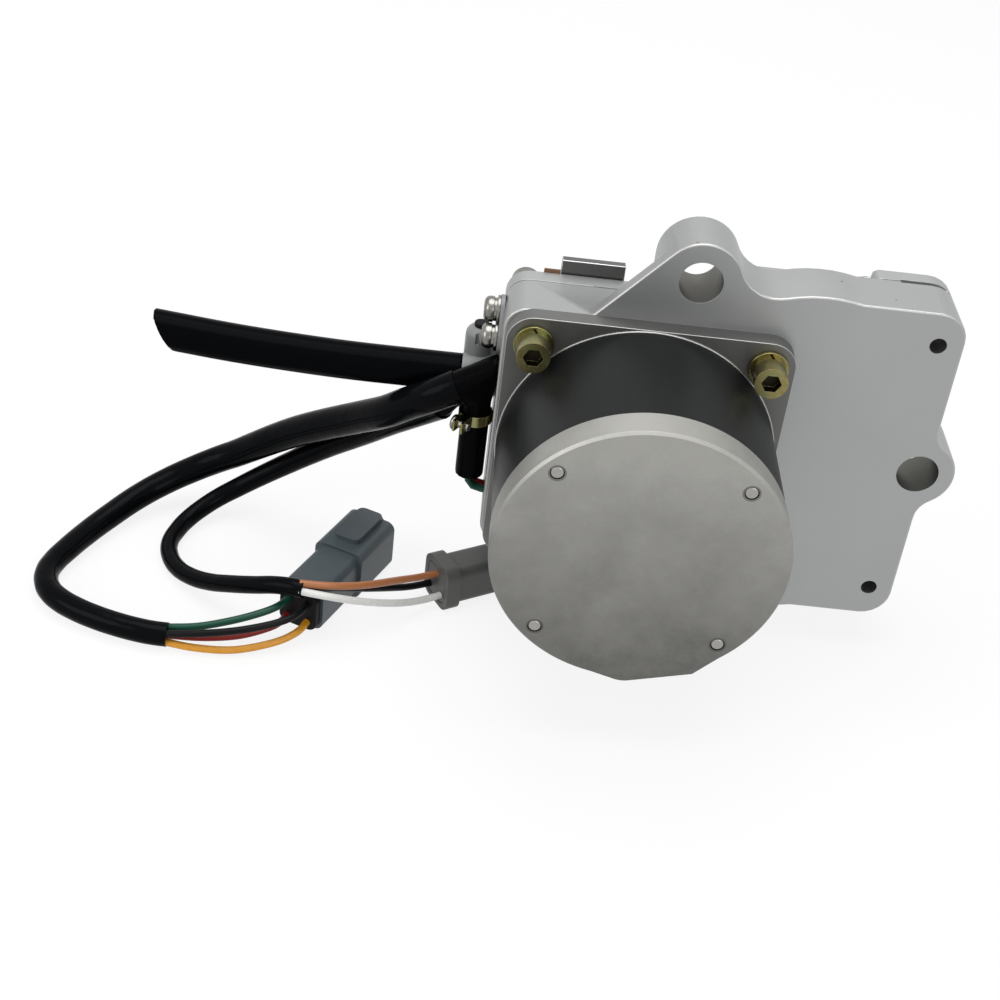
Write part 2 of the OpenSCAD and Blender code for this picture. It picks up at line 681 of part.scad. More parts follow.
module spring_washers() place() color("khaki") at_motor_bolts() difference() {
    rod(-flange_t - flat_t - spring_t, -flange_t - flat_t, spring_d);
    rod(-flange_t - flat_t - spring_t - cut, -flange_t, motor_screw_d + 2 * seat_gap);
    translate([0, -flange_t - flat_t - spring_t / 2, 0]) rotate([0, 0, spring_slit_a])
        translate([0, 0, motor_screw_d]) cube([spring_slit, 2 * spring_t + cut, motor_screw_d], center = true);
}

module flat_washers() place() color("darkkhaki") at_motor_bolts() difference() {
    rod(-flange_t - flat_t, -flange_t, flat_d);
    rod(-flange_t - flat_t - cut, -flange_t + cut, motor_screw_d + 2 * screw_gap);
}

module stator_core() place() color("slategray")
    slab(stack_y - stack_len / 2, stack_y + stack_len / 2) difference() {
        union() {
            difference() {
                circle(can_d / 2 - can_wall - seat_gap);
                circle(yoke_r);
            }
            for (k = [0:pole_count - 1]) rotate(360 / pole_count * k) {
                translate([shoe_r - shoe_t / 2, -pole_w / 2]) square([yoke_r - shoe_r + shoe_t, pole_w]);
                translate([shoe_r - 2 * shoe_t, -shoe_w / 2]) square([2 * shoe_t, shoe_w]);
            }
        }
        circle(rotor_d / 2 + air_gap);
        for (a = [45:90:315]) rotate(a) translate([tie_r, 0]) circle(tie_d / 2 + seat_gap);
    }

// Each coil is a flat frame round one pole
module stator_coils() place() color("peru") for (k = [0:pole_count - 1])
    rotate([0, -360 / pole_count * k, 0]) translate([(shoe_r + coil_end_r) / 2, stack_y, 0]) difference() {
        cube([coil_h, stack_len + 2 * coil_t, pole_w + 2 * coil_t], center = true);
        cube([coil_h + cut, stack_len + 2 * seat_gap, pole_w + 2 * seat_gap], center = true);
    }

module bearing_rings(d_out, d_in) for (y = [can_y + cap_spigot_t - bearing_w, -bearing_floor - bearing_w])
    difference() {
        rod(y, y + bearing_w, d_out);
        rod(y - cut, y + bearing_w + cut, d_in);
    }

module bearing_outer_rings() place() color("gray") bearing_rings(bearing_d, race_d + 2 * run_gap);

module bearing_inner_rings() place() color("lightslategray") bearing_rings(race_d, shaft_d + 2 * seat_gap);

module rotor_shaft() place() color("lightsteelblue") {
    rod(can_y + cap_spigot_t - bearing_w, pinion_y0, shaft_d);
    rod(pinion_y0, pinion_y1 + end_gap, pinion_bore);
}

module rotor_core() place() color("dimgray") difference() {
    rod(stack_y - stack_len / 2, stack_y + stack_len / 2, rotor_d);
    rod(stack_y - stack_len, stack_y + stack_len, shaft_d + 2 * seat_gap);
    difference() {
        rod(stack_y - magnet_slot / 2, stack_y + magnet_slot / 2, rotor_d + cut);
        rod(stack_y - magnet_slot, stack_y + magnet_slot, rotor_d - 2 * magnet_slot);
    }
}

// Gear train and output shaft

module motor_pinion() place() color("goldenrod") slab(pinion_y0, pinion_y1) difference() {
    polygon(gear_outline(pinion_n, 0));
    circle(pinion_bore / 2 + seat_gap);
}

module sector_gear() place() translate([output_x, 0, 0]) color("darkgoldenrod") difference() {
    union() {
        slab(train_y - sector_w / 2, train_y + sector_w / 2) difference() {
            polygon(concat([for (i = [0:sector_teeth - 1])
                each tooth(180 + 360 / sector_n * (i - (sector_teeth - 1) / 2), sector_n)],
                [polar(seat_d / 2, 270), [seat_d / 2, 0], polar(seat_d / 2, 90)]));
            for (k = [-1:1]) rotate(180 + k * lightening_a)
                translate([(hub_r + sector_r) / 2, 0]) circle(d = lightening_d);
        }
        rod(hub_y0, hub_y1, 2 * hub_r);
    }
    rod(hub_y0 - cut, hub_y1 + cut, seat_d + 2 * seat_gap);
    sector_pin_bar(2 * hub_r + cut, pin_d + 2 * seat_gap);
}

module sector_pin_bar(len, d) translate([0, pin_y, 0]) cylinder(h = len, d = d, center = true);

module sector_pin() place() translate([output_x, 0, 0]) color("gray")
    sector_pin_bar(2 * hub_r - 2 * end_gap, pin_d);

module output_shaft() place() translate([output_x, 0, 0]) color("lightsteelblue") difference() {
    union() {
        rod(nose_y + end_gap, hub_y0, nose_d);
        rod(hub_y0, recess_y - end_gap, seat_d);
        rod(recess_y - end_gap, lever_y + lever_len, output_d);
    }
    difference() {
        rod(lever_y - ring_t, lever_y, output_d + cut);
        rod(lever_y - ring_t - cut, lever_y + cut, output_d - 2 * ring_groove);
    }
    sector_pin_bar(seat_d + cut, pin_d + 2 * seat_gap);
}

module output_bushes() place() translate([output_x, 0, 0]) color("darkgoldenrod") {
    difference() {
        rod(nose_y, bush_boss_y, nose_d + 2 * bush_wall);
        rod(nose_y - cut, bush_boss_y + cut, nose_d + 2 * run_gap);
    }
    difference() {
        rod(recess_y, rear_y - seal_t, output_d + 2 * bush_wall);
        rod(recess_y - cut, rear_y, output_d + 2 * run_gap);
    }
}

module dust_seal() place() translate([output_x, 0, 0]) color([0.15, 0.12, 0.1]) difference() {
    rod(rear_y - seal_t, rear_y, output_d + 2 * seal_wall);
    rod(rear_y - seal_t - cut, rear_y + cut, output_d + 2 * run_gap);
}

module shaft_ring() place() translate([output_x, 0, 0]) color("silver") difference() {
    rod(lever_y - ring_t, lever_y, output_d + 2 * ring_wall);
    rod(lever_y - ring_t - cut, lever_y + cut, output_d - 2 * ring_groove + 2 * seat_gap);
    translate([0, lever_y, output_d / 2]) cube([output_d - 2 * ring_wall, 3 * ring_t, output_d], center = true);
}

// Position sensor

module sensor_gear() place() translate([sensor_c[0], 0, sensor_c[1]]) color("wheat") difference() {
    union() {
        slab(train_y - sensor_w / 2, train_y + sensor_w / 2)
            polygon(gear_outline(sensor_n, sensor_a + 180 + (mesh_shift + 0.5) * 360 / sensor_n));
        rod(train_y, train_y + sensor_w / 2 + sensor_hub_t, 2 * sensor_shaft_d);
    }
    rod(train_y - sensor_w, train_y + sensor_w, sensor_shaft_d + 2 * seat_gap);
}

module sensor_shaft() place() color("lightsteelblue")
    rod(train_y - sensor_w / 2 - end_gap, back_y - sensor_back, sensor_shaft_d, sensor_c);

module sensor_body() place() color([0.2, 0.22, 0.25]) difference() {
    union() {
        rod(cover_y + sensor_floor, cover_y + sensor_floor + sensor_t, sensor_d, sensor_c);
        rod(cover_y, cover_y + sensor_floor + cut, sensor_nose_d, sensor_c);
    }
    rod(cover_y - cut, back_y - sensor_back + end_gap, sensor_shaft_d + 2 * run_gap, sensor_c);
}

module sensor_cover() place() color("darkgray") slab(plate_y, plate_y + plate_t) difference() {
    union() {
        translate(sensor_c) circle(plate_r);
        translate([sensor_c[0] - plate_tab_w / 2, sensor_c[1]])
            square([plate_tab_w, motor_half + plate_tab_h - sensor_c[1]]);
    }
    for (p = plate_screws_at) translate(p) circle(plate_screw_d / 2 + screw_gap);
}

module sensor_gasket() place() color([0.28, 0.18, 0.1]) slab(back_y, plate_y) difference() {
    union() {
        translate(sensor_c) circle(plate_r);
        translate([sensor_c[0] - plate_tab_w / 2 - gasket_ear_gap - gasket_ear_w, sensor_c[1]])
            square([gasket_ear_w, motor_half + gasket_ear - sensor_c[1]]);
    }
    translate(sensor_c) circle(sensor_d / 2 + pocket_gap);
    for (p = plate_screws_at) translate(p) circle(plate_screw_d / 2 + screw_gap);
}

module sensor_cover_screws() place() color("silver") for (p = plate_screws_at)
    translate([p[0], plate_y + plate_t, p[1]]) rotate([0, 0, -90])
        pan_screw(plate_screw_d, plate_screw_len + plate_gasket_t + plate_t - end_gap, plate_head_h);

// Hose fitting and cable boot on the left wall

module hose_fitting() place() color("gray") difference() {
    union() {
        translate([-case_left - fitting_t, 0, 0]) rotate([90, 0, 90]) linear_extrude(fitting_t) hull() {
            for (p = fitting_screws_at) translate(p) circle(fitting_ear_r);
            translate([post_y, post_top - post_r]) circle(post_r);
        }
        hull() {
            peg(case_left, fitting_end, fitting_body_d, hose_y, hose_z, $fn = 32);
            peg(case_left, fitting_end - fitting_step, fitting_body_d, hose_y + fitting_lift,
                hose_z + fitting_lift, $fn = 32);
        }
        translate([post_x, post_y, hose_z]) domed(post_r, post_top - hose_z, post_round);
        translate([post_x, post_y - web_w / 2, hose_z]) cube([-case_left - post_x, web_w, web_top - hose_z]);
        peg(fitting_end - cut, fitting_end + nipple_len, nipple_d, hose_y, hose_z);
    }
    peg(case_left - cut, fitting_end + nipple_len + cut, fitting_bore, hose_y, hose_z);
    for (p = fitting_screws_at)
        peg(case_left - cut, case_left + fitting_t + cut, fitting_screw_d + 2 * screw_gap, p[0], p[1]);
    translate([post_x - post_slot[0], post_y - post_r, post_top - post_slot[2] / 2])
        cube(post_slot, center = true);
}

module at_fitting_screws() for (p = fitting_screws_at)
    translate([-case_left - fitting_t, p[0], p[1]]) children();

module fitting_screws() place() color("gainsboro") at_fitting_screws()
    translate([-fitting_washer_t - fitting_spring_t, 0, 0]) pan_screw(fitting_screw_d,
        fitting_t + fitting_washer_t + fitting_spring_t + wall - cut - end_gap, fitting_head_h);

// Flat washer with a spring washer on it
module fitting_washers() place() color("silver") at_fitting_screws() rotate([0, -90, 0]) difference() {
    union() {
        cylinder(h = fitting_washer_t, d = fitting_washer_d);
        cylinder(h = fitting_washer_t + fitting_spring_t, d = fitting_spring_d);
    }
    translate([0, 0, -cut]) cylinder(h = fitting_washer_t + fitting_spring_t + 2 * cut,
        d = fitting_screw_d + 2 * screw_gap);
}

module vent_hose() place() color([0.07, 0.07, 0.08]) pipe(hose_path, hose_d, hose_bore, hose_sides, hose_cut_a);

// Moulded elbow from the wall to both cable sleeves, with the inlet tube below
module cable_boot() place() color([0.06, 0.06, 0.07]) {
    translate([boot_x, boot_y, boot_low]) cylinder(h = boot_high - boot_low, d = boot_d);
    hull() {
        translate([boot_x, boot_y, boot_high - cut]) cylinder(h = cut, d = boot_d, $fn = 32);
        peg(case_left, case_left + cut, boot_d, boot_y, boot_z, $fn = 32);
        translate(motor_cable_path[0]) sphere(d = motor_sleeve_d + 2 * mouth_wall, $fn = 24);
    }
    hull() for (p = [branch_at, sensor_cable_path[0]])
        translate(p) sphere(d = sensor_sleeve_d + 2 * mouth_wall, $fn = 24);
}

// Band clamp round the inlet tube, closed by a screw through its two ears
module boot_clip() place() translate([boot_x, boot_y, clip_z]) rotate(clip_a) color("darkkhaki") difference() {
    union() {
        cylinder(h = clip_h, d = boot_d + 2 * clip_t, center = true);
        translate([boot_d / 2, -clip_slit / 2 - clip_t, -clip_h / 2])
            cube([clip_ear, clip_slit + 2 * clip_t, clip_h]);
    }
    cylinder(h = 2 * clip_h, d = boot_d + 2 * seat_gap, center = true);
    translate([0, -clip_slit / 2, -clip_h]) cube([boot_d + clip_ear, clip_slit, 2 * clip_h]);
    translate([boot_d / 2 + clip_ear - clip_screw_d, 0, 0]) rotate([90, 0, 0])
        cylinder(h = clip_screw_len, d = clip_screw_d + 2 * seat_gap, center = true);
}

module clip_screw() place() translate([boot_x, boot_y, clip_z]) rotate(clip_a) color("gainsboro")
    translate([boot_d / 2 + clip_ear - clip_screw_d, -clip_slit / 2 - clip_t, 0]) rotate([0, 0, 90])
        pan_screw(clip_screw_d, clip_slit + 2 * clip_t + cut, clip_screw_d / 2);

module inlet_lead(side)
    tube([for (p = inlet_path) [boot_x + p[0], boot_y + side * inlet_pitch / 2, p[1]]], lead_d, 8, [0, 1, 0]);

module green_inlet_lead() place() color("darkgreen") inlet_lead(-1);

module red_inlet_lead() place() color("darkred") inlet_lead(1);

// Cables, leads and connectors

module motor_cable() place() color([0.05, 0.05, 0.06]) tube(motor_cable_path, motor_sleeve_d, 10);

module sensor_cable() place() color([0.05, 0.05, 0.06]) tube(sensor_cable_path, sensor_sleeve_d, 8);

module green_lead() place() color("green") tube(green_path, lead_d);

module black_lead() place() color([0.05, 0.05, 0.06]) tube(black_path, lead_d);

module red_lead() place() color("firebrick") tube(red_path, lead_d);

module yellow_lead() place() color("goldenrod") tube(yellow_path, lead_d);

module signal_lead() place() color("chocolate") tube(signal_path, lead_d);

module ground_lead() place() color("whitesmoke") tube(ground_path, lead_d);

module supply_lead() place() color([0.05, 0.05, 0.06]) tube(supply_path, lead_d);

// A bar with a rounded square section along a connector's axis, resting on the surface
module plug_bar(x0, x1, w, mid, r) translate([x0, 0, mid]) rotate([90, 0, 90])
    linear_extrude(x1 - x0) rounded_square(w, w, r);

module at_motor_plug() place() translate([motor_plug_at[0], motor_plug_at[1], floor_z])
    rotate([0, 0, motor_plug_a]) children();

module at_sensor_plug() place() translate([sensor_plug_at[0], sensor_plug_at[1], floor_z])
    rotate([0, 0, sensor_plug_a]) children();

module contact_pins() for (sy = [-1, 1], sz = [-1, 1])
    translate([plug_len - socket_depth - contact_root, 0, plug_w / 2]
        + contact_pitch / 2 * [0, sy, sz])
        rotate([0, 90, 0]) cylinder(h = contact_len + contact_root, d = contact_d);

module motor_connector() at_motor_plug() color("slategray") difference() {
    union() {
        plug_bar(0, plug_rear_len, plug_rear_w, plug_w / 2, plug_r);
        plug_bar(plug_rear_len, plug_len, plug_w, plug_w / 2, plug_r);
        translate([plug_len - key_len, -key_w / 2, plug_w - cut]) cube([key_len, key_w, key_h + cut]);
    }
    plug_bar(plug_len - socket_depth, plug_len + cut, plug_w - 2 * plug_wall, plug_w / 2, socket_r);
    contact_pins();
}

module motor_contacts() at_motor_plug() color("silver") contact_pins();

module motor_seal() at_motor_plug() color([0.1, 0.1, 0.11])
    plug_bar(-seal_out, 0, motor_seal_w, plug_w / 2, plug_r);

module sensor_connector() at_sensor_plug() color("gray") difference() {
    union() {
        plug_bar(0, sensor_collar_len, sensor_plug_w, sensor_plug_w / 2, collar_r);
        plug_bar(sensor_collar_len, sensor_plug_len, sensor_body_w, sensor_plug_w / 2, plug_r);
        plug_bar(sensor_plug_len - sensor_tip_len - sensor_step_len, sensor_plug_len - sensor_tip_len,
            sensor_plug_w, sensor_plug_w / 2, plug_r);
    }
    plug_bar(-cut, sensor_seal_t, sensor_seal_w, sensor_plug_w / 2, plug_r);
    for (p = entries) translate([sensor_plug_len - socket_len, p[0], sensor_plug_w / 2 + p[1]])
        rotate([0, 90, 0]) cylinder(h = socket_len + cut, d = socket_d);
}

module sensor_seal() at_sensor_plug() color([0.1, 0.1, 0.11])
    plug_bar(0, sensor_seal_t, sensor_seal_w, sensor_plug_w / 2, plug_r);

gear_case();
rear_cover();
joint_gasket();
cover_screws();
motor_flange();
motor_can();
motor_rear_cap();
tie_bolts();
motor_screws();
spring_washers();
flat_washers();
stator_core();
stator_coils();
bearing_outer_rings();
bearing_inner_rings();
rotor_shaft();
rotor_core();
motor_pinion();
sector_gear();
sector_pin();
output_shaft();
output_bushes();
dust_seal();
shaft_ring();
sensor_gear();
sensor_shaft();
sensor_body();
sensor_cover();
sensor_gasket();
sensor_cover_screws();
hose_fitting();
fitting_screws();
fitting_washers();
vent_hose();
cable_boot();
boot_clip();
clip_screw();
green_inlet_lead();
red_inlet_lead();
motor_cable();
green_lead();
black_lead();
red_lead();
yellow_lead();
motor_connector();
motor_contacts();
motor_seal();
sensor_cable();
signal_lead();
ground_lead();
supply_lead();
sensor_connector();
sensor_seal();
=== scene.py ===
# %% [markdown]
# # An engine governor actuator
#
# The real object is a stepping motor on a flat cast gear case, with a vent hose and two cables on its
# left wall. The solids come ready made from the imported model. This lesson dresses them: edges are
# eased, cords become smooth curves, and each surface gets a finish made of shader nodes. Lengths are in
# metres, and small ones are written as a number of `mm`. The motor's axis runs along Y at `motor_x`.

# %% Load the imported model
import json
import math

import bmesh
import bpy
from mathutils import Matrix, Vector


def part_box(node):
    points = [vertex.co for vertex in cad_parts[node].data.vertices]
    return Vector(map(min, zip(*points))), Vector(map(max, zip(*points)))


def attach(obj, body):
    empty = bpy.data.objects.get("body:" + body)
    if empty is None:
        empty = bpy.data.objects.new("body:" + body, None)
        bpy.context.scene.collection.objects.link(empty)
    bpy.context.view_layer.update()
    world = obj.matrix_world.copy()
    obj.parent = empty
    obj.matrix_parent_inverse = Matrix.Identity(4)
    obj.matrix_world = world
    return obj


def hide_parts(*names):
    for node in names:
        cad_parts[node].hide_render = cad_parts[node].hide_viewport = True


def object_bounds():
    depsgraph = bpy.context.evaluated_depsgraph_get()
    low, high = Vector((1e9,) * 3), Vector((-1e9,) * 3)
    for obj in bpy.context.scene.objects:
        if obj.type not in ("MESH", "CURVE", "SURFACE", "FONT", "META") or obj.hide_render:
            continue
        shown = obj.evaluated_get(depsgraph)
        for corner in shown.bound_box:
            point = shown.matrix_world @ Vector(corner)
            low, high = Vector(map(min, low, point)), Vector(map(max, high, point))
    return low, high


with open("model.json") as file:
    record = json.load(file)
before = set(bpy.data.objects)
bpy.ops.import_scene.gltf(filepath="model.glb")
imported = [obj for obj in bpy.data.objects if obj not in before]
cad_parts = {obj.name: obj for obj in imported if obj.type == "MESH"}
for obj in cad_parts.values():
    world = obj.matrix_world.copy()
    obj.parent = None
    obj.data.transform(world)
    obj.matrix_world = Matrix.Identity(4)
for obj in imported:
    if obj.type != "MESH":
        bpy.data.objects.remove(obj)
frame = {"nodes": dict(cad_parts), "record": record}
cad_box = [list(corner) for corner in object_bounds()]
nodes = frame["nodes"]
record = frame["record"]
body_of = {node: body for body, names in record["behaviour"]["bodies"].items() for node in names}
scene = bpy.context.scene
scene.view_settings.view_transform = "Standard"
mm = 0.001
motor_x = -0.089
print("loaded", len(nodes), "solids, box", cad_box)

# %% [markdown]
# ## The camera
#
# The photograph was fitted to known sizes of the motor, which gives the place, the turn and the lens of
# the camera. A matrix of its right, up and back directions sets all of that at once, with no tracking
# constraint to fight against.

# %% Camera from the fit
camera_right = Vector((0.99397, 0.03287, 0.10458))
camera_up = Vector((-0.10482, 0.56436, 0.81885))
camera_back = Vector((-0.03211, -0.82487, 0.56440))
camera_place = Vector((-0.1447, -0.4408, 0.2755))

camera_data = bpy.data.cameras.new("photo_camera")
camera_data.lens = 60.77
camera_data.sensor_width = 36.0
camera = bpy.data.objects.new("photo_camera", camera_data)
scene.collection.objects.link(camera)
turn = Matrix((camera_right, camera_up, camera_back)).transposed()
camera.matrix_world = Matrix.Translation(camera_place) @ turn.to_4x4()
scene.camera = camera
print("camera at", tuple(round(v, 3) for v in camera_place))

# %% [markdown]
# ## A socket that does sums
#
# A finish is mostly small sums on noise patterns. Writing those sums as Python expressions keeps them
# readable, so a small class wraps a shader socket and adds a Math node for each operator. All the other
# nodes come from one method of the node tree that they belong to.

# %% Socket class and node tree class
class Wire:
    """An output socket that answers to Python's operators with Math nodes."""

    def __init__(self, tree, socket):
        self.tree = tree
        self.socket = socket

    def sum(self, operation, *values):
        return self.tree.node("ShaderNodeMath", {"operation": operation}, dict(enumerate(values)))

    def __add__(self, other):
        return self.sum("ADD", self, other)

    def __sub__(self, other):
        return self.sum("SUBTRACT", self, other)

    def __mul__(self, other):
        return self.sum("MULTIPLY", self, other)

    def __lt__(self, other):
        return self.sum("LESS_THAN", self, other)

    __radd__ = __add__


class Tree:
    """A shader node tree with one method that makes any node."""

    def __init__(self, owner):
        owner.use_nodes = True
        self.tree = owner.node_tree

    def node(self, kind, settings, sockets, output=0):
        made = self.tree.nodes.new(kind)
        for key, value in settings.items():
            if key == "stops":
                ramp = made.color_ramp.elements
                while len(ramp) < len(value):
                    ramp.new(0.5)
                for element, (at, colour) in zip(ramp, value):
                    element.position = at
                    element.color = (*colour, 1.0)
            else:
                setattr(made, key, value)
        for key, value in sockets.items():
            if isinstance(value, Wire):
                self.tree.links.new(value.socket, made.inputs[key])
            else:
                made.inputs[key].default_value = value
        return Wire(self, made.outputs[output])

    def close(self, wire, kind):
        end = next(n for n in self.tree.nodes if n.type == kind)
        self.tree.links.new(wire.socket, end.inputs["Surface"])

    def seen_rays(self):
        """One for rays that show the background: from the camera, in a reflection or through glass."""
        kinds = [self.node("ShaderNodeLightPath", {}, {}, ray)
                 for ray in ("Is Camera Ray", "Is Glossy Ray", "Is Transmission Ray")]
        return kinds[0].sum("MAXIMUM", kinds[0], kinds[1].sum("MAXIMUM", kinds[1], kinds[2]))


print("socket and tree classes ready")

# %% [markdown]
# ## A finish
#
# A finish is a material with one Principled shader. Values that are the same all over stay on the shader's
# own sockets. Patterns are laid out in the object's own coordinates, so that they stay in place when a
# body moves.

# %% Finish class
class Finish(Tree):
    """A material with one Principled shader, and the patterns that feed its sockets."""

    def __init__(self, name, colour, roughness, metallic=0.0, **plain):
        self.material = bpy.data.materials.new(name)
        super().__init__(self.material)
        self.shader = self.tree.nodes["Principled BSDF"]
        self.material.diffuse_color = (*colour, 1.0)
        self.colour = Vector(colour)
        self.set("Base Color", (*colour, 1.0))
        self.set("Roughness", roughness)
        self.set("Metallic", metallic)
        for socket, value in plain.items():
            self.set(socket.replace("_", " "), value)
        self.place = self.node("ShaderNodeTexCoord", {}, {}, "Object")

    def set(self, socket, value):
        self.shader.inputs[socket].default_value = value

    def feed(self, socket, wire):
        self.tree.links.new(wire.socket, self.shader.inputs[socket])
        return self

    def stretched(self, x, y, z):
        return self.node("ShaderNodeMapping", {}, {"Vector": self.place, "Scale": (x, y, z)})

    def noise(self, scale, detail=2.0, rough=0.5, place=None):
        return self.node("ShaderNodeTexNoise", {}, {
            "Vector": place or self.place, "Scale": scale, "Detail": detail, "Roughness": rough}, "Fac")

    def spots(self, scale, size, share):
        """Small round spots, one in a given share of the pattern's cells."""
        pattern = {"Vector": self.place, "Scale": scale}
        near = self.node("ShaderNodeTexVoronoi", {}, pattern, "Distance")
        cell = self.node("ShaderNodeTexVoronoi", {}, pattern, "Color")
        lot = self.node("ShaderNodeSeparateColor", {}, {"Color": cell}, "Red")
        return (near < size) * (lot < share)

    def mix(self, factor, a, b):
        """Two colours mixed. Sockets 0, 6 and 7 are the factor and the two colours, output 2 the result."""
        a, b = (colour if isinstance(colour, Wire) else (*colour, 1.0) for colour in (a, b))
        return self.node("ShaderNodeMix", {"data_type": "RGBA"}, {0: factor, 6: a, 7: b}, 2)

    def ramp(self, factor, *stops):
        return self.node("ShaderNodeValToRGB", {"stops": stops}, {"Fac": factor}, "Color")

    def shades(self, factor, spread):
        """The finish's colour, darker and lighter by a share, led by a pattern."""
        return self.mix(factor, self.colour * (1 - spread), self.colour * (1 + spread))

    def bump(self, height, strength, distance):
        wire = self.node("ShaderNodeBump", {}, {"Height": height, "Strength": strength, "Distance": distance})
        return self.feed("Normal", wire)


print("finish class ready")

# %% [markdown]
# ## Floor and light
#
# A studio photograph of a part has a pale table and broad soft lamps. The floor and the world show as
# white to the camera and in reflections, while the lamps stay at a plain level, so that the colours come
# out as they are written. The floor keeps a part of its own shading, which holds the soft shadow.

# %% Floor
floor_z = cad_box[0][2]
floor_half = 4.0
full_white = (1.0, 1.0, 1.0, 1.0)
white_share, white_ripple = 0.84, 0.02

floor_mesh = bpy.data.meshes.new("floor")
shape = bmesh.new()
bmesh.ops.create_grid(shape, x_segments=1, y_segments=1, size=floor_half,
                      matrix=Matrix.Translation((0, 0, floor_z)))
shape.to_mesh(floor_mesh)
shape.free()
floor = bpy.data.objects.new("floor", floor_mesh)
scene.collection.objects.link(floor)

floor_paper = bpy.data.materials.new("floor_paper")
paper = Tree(floor_paper)
grain = paper.node("ShaderNodeTexNoise", {}, {"Scale": 60.0}, "Fac")
lit = paper.node("ShaderNodeBsdfDiffuse", {}, {"Color": (0.86, 0.86, 0.86, 1.0), "Roughness": 0.5})
white = paper.node("ShaderNodeEmission", {}, {"Color": full_white, "Strength": 1.0})
share = paper.seen_rays() * (white_share + grain * white_ripple)
paper.close(paper.node("ShaderNodeMixShader", {}, {0: share, 1: lit, 2: white}), "OUTPUT_MATERIAL")
floor_mesh.materials.append(floor_paper)
print("floor at", round(floor_z, 4))

# %% World and lamps
lighting_level = 0.42
world = bpy.data.worlds.new("studio")
scene.world = world
sky = Tree(world)
dim = sky.node("ShaderNodeBackground", {}, {"Color": full_white, "Strength": lighting_level})
bright = sky.node("ShaderNodeBackground", {}, {"Color": full_white, "Strength": 1.0})
sky.close(sky.node("ShaderNodeMixShader", {}, {0: sky.seen_rays(), 1: dim, 2: bright}), "OUTPUT_WORLD")
middle = Vector((-0.10, 0.0, 0.0))


def lamp(name, place, size, watts):
    """A round lamp that looks at the middle of the object."""
    data = bpy.data.lights.new(name, "AREA")
    data.shape = "DISK"
    data.size = size
    data.energy = watts
    made = bpy.data.objects.new(name, data)
    made.location = place
    made.rotation_euler = (middle - Vector(place)).to_track_quat("-Z", "Y").to_euler()
    scene.collection.objects.link(made)
    print(name, "at", place)


lamp("overhead_lamp", (-0.15, 0.10, 1.10), size=1.1, watts=11.0)
lamp("left_lamp", (-1.10, -0.60, 0.60), size=0.8, watts=5.0)
lamp("front_lamp", (0.55, -1.20, 0.55), size=0.8, watts=4.0)

# %% [markdown]
# ## Finishes for metal
#
# Cast aluminium is never one grey. It has soft clouds from the mould, a fine grain, and a few dark pits
# where gas was trapped. Each metal is the same recipe with its own numbers: a cloud pattern, a grain
# pattern, spots, and a slight bump from the grain. Edges that were machined or rubbed are brighter, and
# their finish also carries a painted highlight. The eased edges wear it as a finish of their own.

# %% Metals
metal_grain = 1400.0
grain_depth = 0.0002


def cloudy_metal(name, colour, roughness, clouds, spread, pits=0.0, relief=0.04):
    """Metal whose clouds have a given scale and spread of shades, with pits in a share of its cells."""
    finish = Finish(name, colour, roughness, metallic=1.0)
    cloud = finish.noise(clouds, detail=4.0, rough=0.6)
    grain = finish.noise(metal_grain, rough=0.6)
    base = finish.shades(cloud * 0.65 + grain * 0.35, spread)
    if pits:
        pit = finish.spots(scale=260.0, size=0.10, share=pits)
        base = finish.mix(pit, base, finish.colour * 0.4)
        fleck = finish.spots(scale=330.0, size=0.08, share=pits)
        base = finish.mix(fleck, base, finish.colour * 1.15)
    finish.feed("Base Color", base)
    finish.feed("Roughness", roughness - 0.1 + grain * 0.12 + cloud * 0.08)
    return finish.bump(grain, relief, grain_depth)


case_cast = cloudy_metal("case_cast", (0.350, 0.356, 0.356), 0.46, 32.0, 0.10, pits=0.05)
cover_cast = cloudy_metal("cover_cast", (0.365, 0.371, 0.371), 0.50, 40.0, 0.12, pits=0.05, relief=0.10)
flange_metal = cloudy_metal("flange_metal", (0.150, 0.150, 0.146), 0.48, 60.0, 0.12)
# The sensor cover's metal is darkened all over, a painted shade.
plate_in_painted_shade = cloudy_metal("plate_in_painted_shade", (0.13, 0.13, 0.127), 0.45, 60.0, 0.15)
# Brighter finishes for eased edges: machined metal with a painted highlight.
bright_edge_and_highlight = cloudy_metal("bright_edge_and_highlight", (0.62, 0.63, 0.63), 0.36, 90.0, 0.08)
soft_edge_and_highlight = cloudy_metal("soft_edge_and_highlight", (0.40, 0.40, 0.39), 0.42, 90.0, 0.10)
# Painted shade for the insides of the lug bores.
bore_painted_shade = cloudy_metal("bore_painted_shade", (0.15, 0.148, 0.136), 0.50, 60.0, 0.15)
zinc_clear = cloudy_metal("zinc_clear", (0.22, 0.217, 0.20), 0.26, 420.0, 0.55)
bolt_end = cloudy_metal("bolt_end", (0.34, 0.335, 0.32), 0.36, 400.0, 0.18)
contact_metal = cloudy_metal("contact_metal", (0.60, 0.59, 0.55), 0.28, 300.0, 0.08)
steel_bright = cloudy_metal("steel_bright", (0.60, 0.59, 0.56), 0.28, 220.0, 0.12)
steel_ground = cloudy_metal("steel_ground", (0.52, 0.53, 0.54), 0.22, 160.0, 0.06)
steel_gear = cloudy_metal("steel_gear", (0.36, 0.36, 0.37), 0.34, 150.0, 0.10)
core_plates = cloudy_metal("core_plates", (0.16, 0.165, 0.175), 0.50, 120.0, 0.12)
copper_wire = cloudy_metal("copper_wire", (0.48, 0.20, 0.08), 0.34, 300.0, 0.15)
bronze = cloudy_metal("bronze", (0.42, 0.28, 0.11), 0.38, 200.0, 0.12)
print("metals ready")
